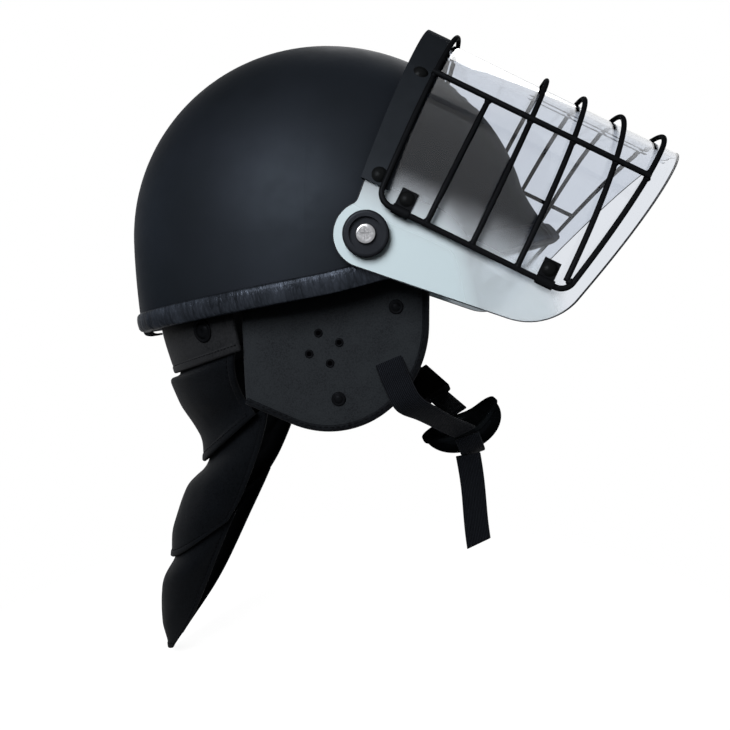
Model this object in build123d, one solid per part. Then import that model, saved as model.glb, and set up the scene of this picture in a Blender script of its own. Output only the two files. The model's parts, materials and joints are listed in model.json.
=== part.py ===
from build123d import *
import math
import os

# Riot helmet with a raised polycarbonate visor, a wire grille over it, a padded nape guard
# and a webbing chin strap with a moulded chin cup.
# Frame: origin where the visor pivot axis crosses the plane of symmetry, +X forward,
# +Y to the wearer's left, +Z up. All sizes are in millimetres and degrees.

# Shell: an egg of elliptical quarters about a centre behind and above the pivot axis
shell_front_reach = 138.5
shell_rear_reach = 134.5
shell_half_width = 118.0
shell_crown_rise = 130.5
shell_skirt_semi_axis = 230.0
shell_centre_back = 34.2
shell_centre_up = 3.0
shell_wall = 4.0
skirt_overrun = 18.0
cut_overrun = 60.0

# Brow flare: the shell's front edge turns out to a short peak
brow_flare = 16.9
brow_flare_start_up = 48.0
brow_flare_tip_up = 9.0
brow_flare_power = 2.2
brow_sections = 5
brow_side_inset = 0.6
brow_foot_down = 4.0

# Rim line of the finished edge, seen from the side: two slopes that meet near the ear
rim_knee_back = 20.6
rim_knee_down = 31.3
rim_rear_pitch = 10.7
rim_front_pitch = 14.5
rim_knee_radius = 150.0

# Edge trim: a leather welt folded over the shell's edge
trim_width = 11.0
trim_thickness = 2.2
trim_fold = 2.0

# Impact liner and comfort pads
fit_gap = 0.3
liner_thickness = 22.0
liner_above_rim = 16.0
pad_thickness = 10.0
crown_pad_radius = 42.0
front_pad_half_width = 58.0
front_pad_height = 34.0
side_pad_length = 84.0
side_pad_height = 46.0
side_pad_above_liner_edge = 6.0

# Visor: a bent sheet whose section runs from a flat ear, over a toed-in cheek, to a rounded front
visor_raise = 64.0
visor_side_gap = 4.0
visor_half_width = shell_half_width + visor_side_gap
visor_crown_gap = 10.8
visor_brow_gap = 20.1
visor_reach = max(shell_crown_rise + visor_crown_gap,
                  shell_front_reach - shell_centre_back + brow_flare + visor_brow_gap)
lens_thickness = 3.0
ear_flat_ahead = 11.0
ear_flat_behind = 24.0
toe_in = 12.0
toe_bend_radius = 30.0
cheek_run = 11.0
front_arc_start = 50.0
lobe_radius = 18.0
lobe_neck_radius = 5.0
lens_top_at_side = 12.0
lens_top_at_front = 27.0
lens_bottom_at_side = 111.0
lens_bottom_at_front = 149.5
lens_corner_back = 4.0
lens_corner_radius = 34.0

# Brow strip: a satin channel over the top edge of the lens
strip_height = 16.5
strip_start = 26.0
strip_wall = 2.2
strip_lip = 2.0
strip_rivet_ahead = 31.0
strip_rivet_turn = 39.0
strip_rivet_above_edge = 7.6

# Dome rivets
rivet_head_radius = 4.4
rivet_head_height = 2.0
rivet_shank_radius = 1.6
rivet_tail_radius = 3.0
rivet_tail_height = 0.8

# Grille: wires at a steady pitch, standing off the lens
wire_radius = 1.6
wire_stand_off = 5.0
grille_pitch = 26.4
grille_top_at_side = -2.0
grille_top_at_front = -10.0
grille_bottom_at_side = 108.0
grille_bottom_at_front = 135.0
grille_corner_radius = 8.0
grille_bar_count = 4
upper_bar_turn = 38.0
centre_bar_tail = 3.0
grille_first_offset = 0.2

# Grille clips: a plate under a rivet, rolled round the side wire
clip_width = 9.5
clip_sheet = 1.0
clip_reach = 14.0
clip_rivet_share = 0.64
upper_clip_down = 11.4
lower_clip_down = 96.0

# Pivot hardware
pivot_boss_radius = 4.5
running_clearance = 0.06
pivot_spacer_radius = 11.0
pivot_knob_radius = 12.5
pivot_knob_thickness = 5.0
pivot_knob_dish_radius = 9.0
pivot_knob_dish_depth = 2.4
pivot_knob_round = 1.6
pivot_washer_radius = 10.3
pivot_washer_thickness = 1.0
screw_head_radius = 5.5
screw_head_height = 2.6
screw_shank_radius = 2.5
screw_slot_width = 1.2
screw_slot_length = 6.0
screw_slot_depth = 1.4
nut_radius = 8.0
nut_thickness = 3.0

# Ear panels: padded flaps with a bound edge, hung from the liner
ear_inset = 24.4
ear_outer_y = shell_half_width - ear_inset
ear_thickness = 7.0
ear_front = 35.0
ear_rear = 76.0
ear_chin_ahead = -13.0
ear_chin_down = 119.8
ear_front_corner_down = 76.5
ear_rear_corner_down = 96.5
ear_front_corner_radius = 54.0
ear_chin_corner_radius = 35.0
ear_rear_corner_radius = 9.0
binding_width = 4.5
binding_proud = 1.0
upper_snap_ahead = 15.6
upper_snap_down = 39.2
lower_snap_behind = 18.1
lower_snap_down = 93.5
snap_radius = 4.25
snap_height = 1.8
eyelet_centre_behind = 26.5
eyelet_centre_down = 63.5
eyelet_spacing = 13.5
eyelet_turn = 21.0
eyelet_outer_radius = 2.6
eyelet_bore_radius = 1.2
eyelet_height = 0.8

# Chin strap and its slit in the ear panel
slit_ahead = 11.5
slit_down = 71.5
slit_pitch = 23.5
webbing_width = 17.0
webbing_thickness = 1.8
strap_corner_ahead = 23.0
strap_corner_down = 95.0
strap_lift_share = 0.3

# Chin cup: a moulded bowl with a rolled rim
cup_centre_ahead = 61.0
cup_centre_down = 123.5
cup_pitch = 22.0
cup_length = 29.0
cup_half_width = 34.0
cup_depth = 20.0
cup_wall = 2.0
cup_rim_height = 3.0
cup_rim_proud = 1.6
cup_front_lip = 9.0
cup_lip_start = 10.0
cup_hole_radius = 1.6
cup_hole_turn = 35.0
cup_hole_tip = 70.0

# Buckle on the left strap
socket_length = 20.0
plug_length = 14.0
buckle_width = 24.0
buckle_thickness = 8.0
buckle_wall = 1.8
prong_width = 5.0
prong_length = 15.0
buckle_place_share = 0.42

# Strap tail, hanging from the cup
tail_length = 62.0
tail_lean = 8.0
tail_ahead = 64.0
tail_aside = 26.0
tail_top_down = 142.0

# Nape collar and the three padded lames below it, from reference sizes and shares of them
nape_inset = 8.7
nape_back = shell_rear_reach + shell_centre_back - nape_inset
nape_side_inset = 19.0
nape_half_width = shell_half_width - nape_side_inset
nape_hem_down = 88.0
nape_length = 213.0
collar_thickness = 2.6
lame_skin = 3.0
lame_crown = 9.0
lame_tip_share = 0.8
collar_snap_radius = 7.2
collar_snap_height = 2.0
collar_snap_back_share = 0.665
collar_snap_down = 55.5
# Each row: rear place back and down, side place back, out and down, all as shares of the
# nape reference sizes, then whether the slice is at full crown
upper_lame_shares = (
    (0.880, -0.030, 0.505, 0.931, -0.138, 0),
    (0.871, 0.003, 0.505, 0.931, -0.105, 0),
    (0.915, 0.024, 0.510, 0.920, -0.070, 1),
    (0.866, 0.100, 0.508, 0.878, -0.020, 1),
    (0.785, 0.205, 0.490, 0.796, 0.040, 0),
    (0.780, 0.300, 0.448, 0.792, 0.085, 0),
)
middle_lame_shares = (
    (0.748, 0.254, 0.413, 0.718, 0.061, 0),
    (0.775, 0.312, 0.412, 0.726, 0.103, 0),
    (0.852, 0.390, 0.445, 0.707, 0.197, 1),
    (0.925, 0.540, 0.520, 0.656, 0.338, 1),
    (0.945, 0.630, 0.590, 0.616, 0.431, 0),
)
lower_lame_shares = (
    (0.908, 0.595, 0.560, 0.555, 0.400, 0),
    (0.934, 0.645, 0.590, 0.555, 0.450, 0),
    (0.980, 0.715, 0.650, 0.505, 0.550, 1),
    (1.000, 0.850, 0.795, 0.350, 0.790, 1),
    (0.994, 0.990, 0.950, 0.125, 0.972, 0),
)
# The collar's rows: the same five shares without the crown
collar_shares = (
    (0.952, -0.260, 0.520, 0.985, -0.320),
    (0.944, -0.140, 0.505, 0.985, -0.220),
    (0.892, 0.000, 0.474, 0.980, -0.108),
)

# Rear retainer strap, folded under the trim and closed by a snap
retainer_width = 16.0
retainer_thickness = 1.6
retainer_top_down = 14.0
retainer_bend_radius = 3.0
retainer_slack = 0.9
retainer_snap_radius = 5.5


# The wearer's right lies at -Y and the left at +Y
SIDES = ((-1, "right"), (1, "left"))


def rim_height(x):
    """Height of the finished edge's lower line at a place along the helmet."""
    pitch = rim_rear_pitch if x < -rim_knee_back else rim_front_pitch
    return -rim_knee_down + (x + rim_knee_back) * math.tan(math.radians(pitch))


def rim_block(lift):
    """Everything above the rim line, once the line is lifted by a distance."""
    reach = shell_front_reach + brow_flare + cut_overrun
    top = shell_crown_rise + cut_overrun
    knee = (-rim_knee_back, rim_height(-rim_knee_back) + lift)
    front = (reach, rim_height(reach) + lift)
    rear = (-reach, rim_height(-reach) + lift)
    outline = make_face(Polyline(front, (reach, top), (-reach, top), rear, knee, close=True))
    corner = outline.vertices().sort_by_distance(Vector(knee[0], knee[1]))[0]
    outline = fillet(corner, rim_knee_radius)
    return extrude(Plane.XZ * outline, amount=reach, both=True)


def dome(grow):
    """The egg of the shell, larger all round by grow, down past the rim."""
    width = shell_half_width + grow
    rise = shell_crown_rise + grow
    skirt = shell_skirt_semi_axis + grow
    depth = -rim_height(-shell_rear_reach - shell_centre_back) + shell_centre_up + skirt_overrun
    skirt_angle = math.degrees(math.asin(depth / skirt))
    crown_arc = EllipticalCenterArc((0, 0), width, rise, start_angle=0, arc_size=90)
    skirt_arc = EllipticalCenterArc((0, 0), width, skirt, start_angle=-skirt_angle, arc_size=skirt_angle)
    floor = Line((0, -depth), skirt_arc @ 0)
    spine = Line(crown_arc @ 1, (0, -depth))
    profile = make_face([floor, skirt_arc, crown_arc, spine])
    egg = revolve(Plane.XZ * profile, axis=Axis.Z, revolution_arc=180)
    front_half = Rot(Z=-90) * egg
    rear_half = Rot(Z=90) * egg
    front_half = scale(front_half, by=((shell_front_reach + grow) / width, 1, 1))
    rear_half = scale(rear_half, by=((shell_rear_reach + grow) / width, 1, 1))
    return Pos(-shell_centre_back, 0, shell_centre_up) * (front_half + rear_half)


def dome_share(z):
    """Share of the plain egg's reach and width that is left at a height."""
    semi_axis = shell_crown_rise if z > shell_centre_up else shell_skirt_semi_axis
    ratio = (z - shell_centre_up) / semi_axis
    return math.sqrt(1 - ratio * ratio)


def brow(grow):
    """The flared peak at the front, a loft through half ellipses."""
    sections = []
    low = rim_height(shell_front_reach + brow_flare - shell_centre_back) - brow_foot_down - trim_fold
    for index in range(brow_sections):
        share = index / (brow_sections - 1)
        z = brow_flare_start_up + (low - brow_flare_start_up) * share
        run = (brow_flare_start_up - z) / (brow_flare_start_up - brow_flare_tip_up)
        flare = brow_flare * run ** brow_flare_power
        reach = shell_front_reach * dome_share(z) + flare + grow - brow_side_inset
        width = shell_half_width * dome_share(z) + grow - brow_side_inset
        arc = EllipticalCenterArc((0, 0), reach, width, start_angle=-90, arc_size=180)
        face = make_face([arc, Line(arc @ 1, arc @ 0)])
        sections.append(Pos(-shell_centre_back, 0, z) * face)
    return loft(sections)


def shell_form(grow):
    """Outer form of the shell, flare included, offset by grow."""
    return dome(grow) + brow(grow)


def edge_trim():
    """Channel over the shell's edge: outside face, inside face and the fold below."""
    band = shell_form(trim_thickness) - shell_form(-shell_wall - trim_thickness)
    band = (band & rim_block(0)) - rim_block(trim_width)
    return band - outer_shell


def impact_liner():
    """Foam liner with pockets round the pivot nuts."""
    outer = -shell_wall - fit_gap
    liner = dome(outer) - dome(outer - liner_thickness)
    liner = liner & rim_block(liner_above_rim)
    pocket = Cylinder(nut_radius + 2 * fit_gap, 2 * shell_half_width, rotation=(90, 0, 0))
    core = Cylinder(nut_radius * 2, 2 * pivot_pocket_floor(), rotation=(90, 0, 0))
    return liner - (pocket - core)


def pivot_pocket_floor():
    """Sideways place where the nut pockets in the liner end."""
    return shell_side_at_pivot() - shell_wall - nut_thickness - 2 * fit_gap


def shell_side_at_pivot():
    """Half width of the shell's outer face on the pivot axis."""
    ratio = shell_centre_back / shell_front_reach
    lift = shell_centre_up / shell_skirt_semi_axis
    return shell_half_width * math.sqrt(1 - ratio * ratio - lift * lift)


def pad_layer():
    """The thin layer inside the liner from which the comfort pads are cut."""
    outer = -shell_wall - liner_thickness - 2 * fit_gap
    return dome(outer) - dome(outer - pad_thickness)


def comfort_pads():
    layer = pad_layer()
    deep = shell_crown_rise + cut_overrun
    crown = layer & (Pos(-shell_centre_back, 0, deep / 2) * Cylinder(crown_pad_radius, deep))
    edge = liner_above_rim + side_pad_above_liner_edge
    rim_strip = rim_block(edge) - rim_block(edge + front_pad_height)
    tall_strip = rim_block(edge) - rim_block(edge + side_pad_height)
    front_box = Pos(shell_front_reach, 0, 0) * Box(
        2 * shell_front_reach, 2 * front_pad_half_width, 4 * deep)
    rear_box = Pos(-shell_rear_reach - 2 * shell_centre_back, 0, 0) * Box(
        2 * shell_rear_reach, 2 * front_pad_half_width, 4 * deep)
    pads = {
        "crown_pad": crown,
        "front_pad": layer & rim_strip & front_box,
        "rear_pad": layer & rim_strip & rear_box,
    }
    for sign, side in SIDES:
        box = Pos(-shell_centre_back, sign * shell_half_width, 0) * Box(
            side_pad_length, shell_half_width, 4 * deep)
        pads[side + "_side_pad"] = layer & tall_strip & box
    return pads


def sine(angle):
    return math.sin(math.radians(angle))


def cosine(angle):
    return math.cos(math.radians(angle))


cheek_ahead = ear_flat_ahead + toe_bend_radius * sine(toe_in)
cheek_half_width = visor_half_width - toe_bend_radius * (1 - cosine(toe_in))


def front_shape(run):
    """Radii and centres of the side and front arcs of a visor section, measured from the cheek."""
    x = cheek_run * cosine(toe_in)
    y = cheek_half_width - cheek_run * sine(toe_in)
    side_along = sine(front_arc_start) - sine(toe_in)
    front_along = 1 - sine(front_arc_start)
    side_in = cosine(toe_in) - cosine(front_arc_start)
    front_in = cosine(front_arc_start)
    scale_of = side_along * front_in - front_along * side_in
    side_radius = ((run - x) * front_in - front_along * y) / scale_of
    front_radius = (side_along * y - side_in * (run - x)) / scale_of
    side_centre = (x - side_radius * sine(toe_in), y - side_radius * cosine(toe_in))
    return side_radius, side_centre, front_radius, (run - front_radius, 0)


def skin_point(turn, outset, run):
    """Point of a visor section where its outward normal has turned forward by an angle."""
    side_radius, side_centre, front_radius, front_centre = front_shape(run)
    radius, centre = side_radius, side_centre
    if turn > front_arc_start:
        radius, centre = front_radius, front_centre
    radius = radius + outset
    return centre[0] + radius * sine(turn), centre[1] + radius * cosine(turn)


def mirrored(point):
    return point[0], -point[1]


def front_edges(outset, run):
    """Edges of a section from the +Y cheek round the front to the -Y cheek."""
    cheek = (outset * sine(toe_in), cheek_half_width + outset * cosine(toe_in))
    knuckle = skin_point(toe_in, outset, run)
    middle = skin_point((toe_in + front_arc_start) / 2, outset, run)
    shoulder = skin_point(front_arc_start, outset, run)
    return [
        Line(cheek, knuckle),
        ThreePointArc(knuckle, middle, shoulder),
        ThreePointArc(shoulder, (run + outset, 0), mirrored(shoulder)),
        ThreePointArc(mirrored(shoulder), mirrored(middle), mirrored(knuckle)),
        Line(mirrored(knuckle), mirrored(cheek)),
    ]


lens_run = visor_reach - cheek_ahead


def full_section(outset):
    """Whole visor section from ear to ear in the closed visor's level plane."""
    level = visor_half_width + outset
    bend = toe_bend_radius + outset
    half_turn = toe_in / 2
    centre = (ear_flat_ahead, visor_half_width - toe_bend_radius)
    ear = (-ear_flat_behind, level)
    flat_end = (ear_flat_ahead, level)
    bend_middle = (centre[0] + bend * sine(half_turn), centre[1] + bend * cosine(half_turn))
    bend_end = (centre[0] + bend * sine(toe_in), centre[1] + bend * cosine(toe_in))
    edges = [Line(ear, flat_end), ThreePointArc(flat_end, bend_middle, bend_end)]
    edges += [Pos(cheek_ahead, 0) * edge for edge in front_edges(outset, lens_run)]
    edges += [
        ThreePointArc(mirrored(bend_end), mirrored(bend_middle), mirrored(flat_end)),
        Line(mirrored(flat_end), mirrored(ear)),
    ]
    return edges


def visor_sheet(outer, inner):
    """A tall sheet between two offsets of the visor section."""
    outside = full_section(outer)
    inside = full_section(inner)
    start = Line(outside[0] @ 0, inside[0] @ 0)
    end = Line(outside[-1] @ 1, inside[-1] @ 1)
    face = make_face(outside + inside + [start, end])
    return extrude(face, amount=lens_bottom_at_front + cut_overrun, both=True)


def lens_top(v):
    """Height of the lens's top edge above the pivot, on the closed visor."""
    share = (v - ear_flat_ahead) / (visor_reach - ear_flat_ahead)
    return lens_top_at_side + (lens_top_at_front - lens_top_at_side) * share


def lens_outline():
    """Side view of the closed lens: ear lobe, long rear edge, rounded corner, sloping hem."""
    corner = (-lens_corner_back, -lens_bottom_at_side)
    distance = math.hypot(corner[0], corner[1])
    bearing = math.degrees(math.atan2(corner[1], corner[0]))
    tangent = bearing - math.degrees(math.acos(lobe_radius / distance))
    lobe_touch = (lobe_radius * cosine(tangent), lobe_radius * sine(tangent))
    ahead = visor_reach + cut_overrun
    drop = (lens_bottom_at_front - lens_bottom_at_side) / (visor_reach + lens_corner_back)
    hem = (ahead, -lens_bottom_at_side - drop * (ahead + lens_corner_back))
    blade = make_face(Polyline(
        lobe_touch, corner, hem, (ahead, lens_top(ahead)), (0, lens_top(0)), close=True))
    low_corner = blade.vertices().sort_by_distance(Vector(corner[0], corner[1]))[0]
    blade = fillet(low_corner, lens_corner_radius)
    outline = blade + Circle(lobe_radius)
    neck = [v for v in outline.vertices() if v.X > 0 and abs(v.Y - lens_top(v.X)) < fit_gap
            and v.X < lobe_radius]
    return fillet(neck, lobe_neck_radius)


def side_cut(face, width):
    """A side view turned into a block that runs right across the visor."""
    return extrude(Plane.XZ * face, amount=width, both=True)


def cut_lens():
    sheet = visor_sheet(0, -lens_thickness)
    lens = sheet & side_cut(lens_outline(), visor_half_width + cut_overrun)
    bore = Cylinder(pivot_boss_radius + running_clearance, 4 * visor_half_width, rotation=(90, 0, 0))
    return lens - bore - mirrored_group(rivet_bores())


def brow_strip():
    """Channel over the lens's top edge, square at its ends."""
    sheet = visor_sheet(strip_wall, -lens_thickness - strip_wall)
    ahead = visor_reach + cut_overrun
    drop = strip_height - strip_lip
    band = make_face(Polyline(
        (strip_start, lens_top(strip_start) + strip_lip), (ahead, lens_top(ahead) + strip_lip),
        (ahead, lens_top(ahead) - drop), (strip_start, lens_top(strip_start) - drop), close=True))
    strip = sheet & side_cut(band, visor_half_width + cut_overrun)
    return strip - visor_lens - mirrored_group(rivet_bores())


def on_skin(turn, outset, height):
    """Plane on the closed visor's outer face, its normal pointing out of the face."""
    x, y = skin_point(turn, outset, lens_run)
    normal = Vector(sine(turn), cosine(turn), 0)
    return Plane(origin=(x + cheek_ahead, y, height), x_dir=(0, 0, 1), z_dir=normal)


def turn_at(v):
    """Turn of the section's normal at a forward place on the cheek or the side arc."""
    side_radius, side_centre, front_radius, front_centre = front_shape(lens_run)
    ratio = (v - cheek_ahead - side_centre[0]) / side_radius
    return max(toe_in, math.degrees(math.asin(ratio)))


def dome_rivet(through):
    """Rivet with a domed head on the plane, a shank below it and a tail washer behind."""
    ball = (rivet_head_radius ** 2 + rivet_head_height ** 2) / (2 * rivet_head_height)
    cap = Pos(0, 0, rivet_head_height - ball) * Sphere(ball)
    cap = cap & (Pos(0, 0, rivet_head_height / 2) * Cylinder(2 * rivet_head_radius, rivet_head_height))
    shank = Pos(0, 0, -through / 2) * Cylinder(rivet_shank_radius, through)
    tail = Pos(0, 0, -through - rivet_tail_height / 2) * Cylinder(rivet_tail_radius, rivet_tail_height)
    return cap + shank + tail


def rivet_bores():
    """Holes for the rivets of the left side, through strip, clips and lens."""
    planes = strip_rivet_places() + [clip_rivet_plane(down) for down in (upper_clip_down, lower_clip_down)]
    length = 2 * (2 * strip_wall + lens_thickness)
    return [plane * Cylinder(rivet_shank_radius + running_clearance, length) for plane in planes]


def mirrored_group(pieces):
    """The pieces of the left side with their copies on the right."""
    return pieces + [mirror(piece, about=Plane.XZ) for piece in pieces]


def both_sides(part):
    return part + mirror(part, about=Plane.XZ)


def strip_rivet_places():
    places = []
    for turn in (turn_at(strip_rivet_ahead), strip_rivet_turn):
        x, y = skin_point(turn, strip_wall, lens_run)
        lower_edge = lens_top(x + cheek_ahead) + strip_lip - strip_height
        places.append(on_skin(turn, strip_wall, lower_edge + strip_rivet_above_edge))
    return places


def tube(path_edges, radius):
    """Round wire along a path."""
    path = Wire(path_edges)
    start = Plane(origin=path @ 0, z_dir=path % 0)
    return sweep(start * Circle(radius), path=path)


def hoop_plane(height, tilt):
    """Level plane through the cheek line at a height, tipped down towards the front."""
    forward = (cosine(tilt), 0, -sine(tilt))
    normal = (sine(tilt), 0, cosine(tilt))
    return Plane(origin=(cheek_ahead, 0, height), x_dir=forward, z_dir=normal)


def hoop_run(tilt):
    """Length from the cheek to the front inside a tipped plane."""
    return (lens_run + wire_stand_off) / cosine(tilt) - wire_stand_off


def tilt_between(side, front):
    return math.degrees(math.atan2(front - side, lens_run))


def grille_frame():
    """Perimeter wire: a hoop above, a hoop below and a rounded upright at each side."""
    top_tilt = tilt_between(grille_top_at_side, grille_top_at_front)
    low_tilt = tilt_between(grille_bottom_at_side, grille_bottom_at_front)
    top_plane = hoop_plane(-grille_top_at_side, top_tilt)
    low_plane = hoop_plane(-grille_bottom_at_side, low_tilt)
    frame = None
    uprights = {}
    for plane, tilt in ((top_plane, top_tilt), (low_plane, low_tilt)):
        edges = front_edges(wire_stand_off, hoop_run(tilt))
        first = edges[0]
        share = (grille_corner_radius + wire_radius) / first.length
        cut = first @ share
        edges[0] = Line(cut, first @ 1)
        edges[-1] = Line(edges[-1] @ 0, mirrored((cut.X, cut.Y)))
        hoop = tube([plane * edge for edge in edges], wire_radius)
        frame = hoop if frame is None else frame + hoop
        corner = plane.from_local_coords(first @ 0)
        start = plane.from_local_coords(cut)
        uprights[tilt] = (start, corner)
    (top_start, top_corner), (low_start, low_corner) = uprights[top_tilt], uprights[low_tilt]
    upright = FilletPolyline(top_start, top_corner, low_corner, low_start, radius=grille_corner_radius)
    side = tube(upright.edges(), wire_radius)
    return frame + both_sides(side)


def bar_start(down):
    """Distance from the upright's line at which a bar's end meets the perimeter wire."""
    tilt = tilt_between(grille_bottom_at_side, grille_bottom_at_front)
    half_corner = math.radians((90 - tilt) / 2)
    centre_down = grille_bottom_at_side - grille_corner_radius * math.tan(half_corner)
    if down < centre_down:
        return wire_radius
    across = grille_corner_radius - 2 * wire_radius
    return grille_corner_radius - math.sqrt(across ** 2 - (down - centre_down) ** 2)


def bar_edges(down):
    """Path of a level bar from upright to upright."""
    edges = front_edges(wire_stand_off, lens_run)
    first = edges[0]
    cut = first @ (bar_start(down) / first.length)
    edges[0] = Line(cut, first @ 1)
    edges[-1] = Line(edges[-1] @ 0, mirrored((cut.X, cut.Y)))
    return edges


def grille_bar(index):
    """Level bar; the first one stops at the upper bar and leaves the view in front open."""
    down = grille_pitch * index + grille_first_offset
    plane = hoop_plane(-down, 0)
    edges = bar_edges(down)
    if index > 1:
        return tube([plane * edge for edge in edges], wire_radius)
    end = skin_point(upper_bar_turn, wire_stand_off, lens_run)
    middle = skin_point((toe_in + upper_bar_turn) / 2, wire_stand_off, lens_run)
    short = [edges[0], ThreePointArc(edges[0] @ 1, middle, end)]
    return both_sides(tube([plane * edge for edge in short], wire_radius))


def straight_bar(turn, outset, top, bottom):
    """Bar that runs from the brow to the chin at one turn of the section."""
    x, y = skin_point(turn, outset, lens_run)
    return Pos(x + cheek_ahead, y, -(top + bottom) / 2) * Cylinder(wire_radius, bottom - top)


def grille_drop(v, at_side, at_front):
    """How far a tipped hoop lies below the pivot at a forward place."""
    return at_side + (at_front - at_side) * (v - cheek_ahead) / (visor_reach + wire_stand_off - cheek_ahead)


def upper_bar():
    """Bar on the outside of the hoops, from the top hoop to the bottom one."""
    x = skin_point(upper_bar_turn, wire_stand_off, lens_run)[0] + cheek_ahead
    top = grille_drop(x, grille_top_at_side, grille_top_at_front) - wire_radius
    bottom = grille_drop(x, grille_bottom_at_side, grille_bottom_at_front) + wire_radius
    return straight_bar(upper_bar_turn, wire_stand_off + 2 * wire_radius, top, bottom)


def centre_bar():
    """Bar on the inside of the hoops, with a short tail behind the second one."""
    top = 2 * grille_pitch + grille_first_offset - centre_bar_tail - wire_radius
    return straight_bar(90, wire_stand_off - 2 * wire_radius, top, grille_bottom_at_front + wire_radius)


def grille_clip(height):
    """Rolled clip: a plate on the lens and a loop round the upright."""
    turn = toe_in
    along = Vector(cosine(turn), -sine(turn), 0)
    wire = (wire_stand_off * sine(turn), cheek_half_width + wire_stand_off * cosine(turn), 0)
    origin = Vector(cheek_ahead + wire[0], wire[1], -height)
    frame = Plane(origin=origin, x_dir=along, z_dir=(0, 0, 1))
    plate_middle = -wire_stand_off + clip_sheet / 2 + running_clearance
    loop = Circle(wire_radius + clip_sheet) - Circle(wire_radius + running_clearance)
    plate = Pos(clip_reach / 2, plate_middle) * Rectangle(clip_reach, clip_sheet)
    web_height = wire_stand_off - wire_radius
    web = Pos(0, -wire_radius - web_height / 2) * Rectangle(2 * clip_sheet, web_height - clip_sheet)
    clip = extrude(frame * (loop + plate + web), amount=clip_width / 2, both=True)
    return clip - rivet_bores()


def clip_rivet_plane(height):
    """Plane on a clip's plate, where its rivet sits."""
    along = Vector(cosine(toe_in), -sine(toe_in), 0) * (clip_reach * clip_rivet_share)
    normal = Vector(sine(toe_in), cosine(toe_in), 0)
    out = normal * (clip_sheet + running_clearance)
    origin = Vector(cheek_ahead, cheek_half_width, -height) + along + out
    return Plane(origin=origin, x_dir=(0, 0, 1), z_dir=normal)


def raised(part):
    """A visor piece turned from closed to the raised rest position."""
    return Rot(Y=-visor_raise) * part


def along_side(sign, radius, start, end, x=0, z=0):
    """Round bar along the sideways direction between two distances from the middle."""
    middle = sign * (start + end) / 2
    return Pos(x, middle, z) * Cylinder(radius, end - start, rotation=(90, 0, 0))


def pivot_parts(sign):
    """Spacer with its boss, washer, dished knob, screw and nut of one side."""
    lens_inner = visor_half_width - lens_thickness
    shoulder = lens_inner - running_clearance
    boss_end = visor_half_width + running_clearance
    knob_start = boss_end + pivot_washer_thickness
    knob_end = knob_start + pivot_knob_thickness
    dish_floor = knob_end - pivot_knob_dish_depth
    nut_inner = shell_side_at_pivot() - shell_wall - nut_thickness
    bore = along_side(sign, screw_shank_radius + running_clearance, 0, knob_end)
    spacer = along_side(sign, pivot_spacer_radius, nut_inner, shoulder)
    spacer = spacer + along_side(sign, pivot_boss_radius, nut_inner, boss_end)
    spacer = spacer - outer_form - bore
    washer = along_side(sign, pivot_washer_radius, boss_end, knob_start) - bore
    knob = along_side(sign, pivot_knob_radius, knob_start, knob_end)
    knob = fillet(knob.edges().filter_by(GeomType.CIRCLE).sort_by(Axis.Y)[0 if sign < 0 else -1],
                  pivot_knob_round)
    knob = knob - along_side(sign, pivot_knob_dish_radius, dish_floor, knob_end + fit_gap) - bore
    head = along_side(sign, screw_head_radius, dish_floor, dish_floor + screw_head_height)
    outer_edge = head.edges().filter_by(GeomType.CIRCLE).sort_by(Axis.Y)[0 if sign < 0 else -1]
    head = fillet(outer_edge, screw_head_height / 2)
    slot_middle = sign * (dish_floor + screw_head_height - screw_slot_depth / 2)
    for length, width in ((screw_slot_length, screw_slot_width), (screw_slot_width, screw_slot_length)):
        head = head - Pos(0, slot_middle, 0) * Box(length, screw_slot_depth, width)
    screw = head + along_side(sign, screw_shank_radius, nut_inner, dish_floor)
    nut = along_side(sign, nut_radius, nut_inner, shell_side_at_pivot())
    nut = (nut & inner_form) - bore
    return {"pivot_spacer": spacer, "pivot_washer": washer, "pivot_knob": knob,
            "pivot_screw": screw, "pivot_nut": nut}


def ear_outline(inset):
    """Side view of an ear panel, drawn in all round by inset."""
    outline = make_face(Polyline(
        (ear_front, 0), (ear_front, -ear_front_corner_down), (ear_chin_ahead, -ear_chin_down),
        (-ear_rear, -ear_rear_corner_down), (-ear_rear, 0), close=True))
    radii = (
        ((ear_front, -ear_front_corner_down), ear_front_corner_radius),
        ((ear_chin_ahead, -ear_chin_down), ear_chin_corner_radius),
        ((-ear_rear, -ear_rear_corner_down), ear_rear_corner_radius),
    )
    for place, radius in radii:
        corner = outline.vertices().sort_by_distance(Vector(place[0], place[1]))[0]
        outline = fillet(corner, radius)
    if inset:
        outline = offset(outline, amount=-inset)
    return outline


def below_liner(part):
    """The piece cut off where the liner's lower edge begins."""
    return part - rim_block(liner_above_rim - fit_gap)


def ear_panel(sign):
    """Padded panel inside its binding, with the slit for the chin strap."""
    middle = ear_outer_y - ear_thickness / 2
    panel = extrude(Plane.XZ * ear_outline(binding_width), amount=ear_thickness / 2, both=True)
    slit = Pos(slit_ahead, 0, -slit_down) * Rot(Y=-slit_pitch) * Box(
        webbing_width + 2 * fit_gap, 2 * ear_thickness, webbing_thickness + 2 * fit_gap)
    return Pos(0, sign * middle, 0) * (below_liner(panel) - slit)


def ear_binding(sign):
    """Rolled binding round the panel's free edge."""
    half = ear_thickness / 2 + binding_proud
    ring = ear_outline(0) - ear_outline(binding_width)
    band = extrude(Plane.XZ * ring, amount=half, both=True)
    middle = ear_outer_y - ear_thickness / 2
    return Pos(0, sign * middle, 0) * below_liner(band)


def strap_anchor(sign):
    """Sewn end of the chin strap, filling the slit and flush behind the panel."""
    start = ear_outer_y - ear_thickness
    middle = Pos(slit_ahead, sign * (start + ear_outer_y) / 2, -slit_down)
    return middle * Rot(Y=-slit_pitch) * Box(webbing_width, ear_thickness, webbing_thickness)


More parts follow.
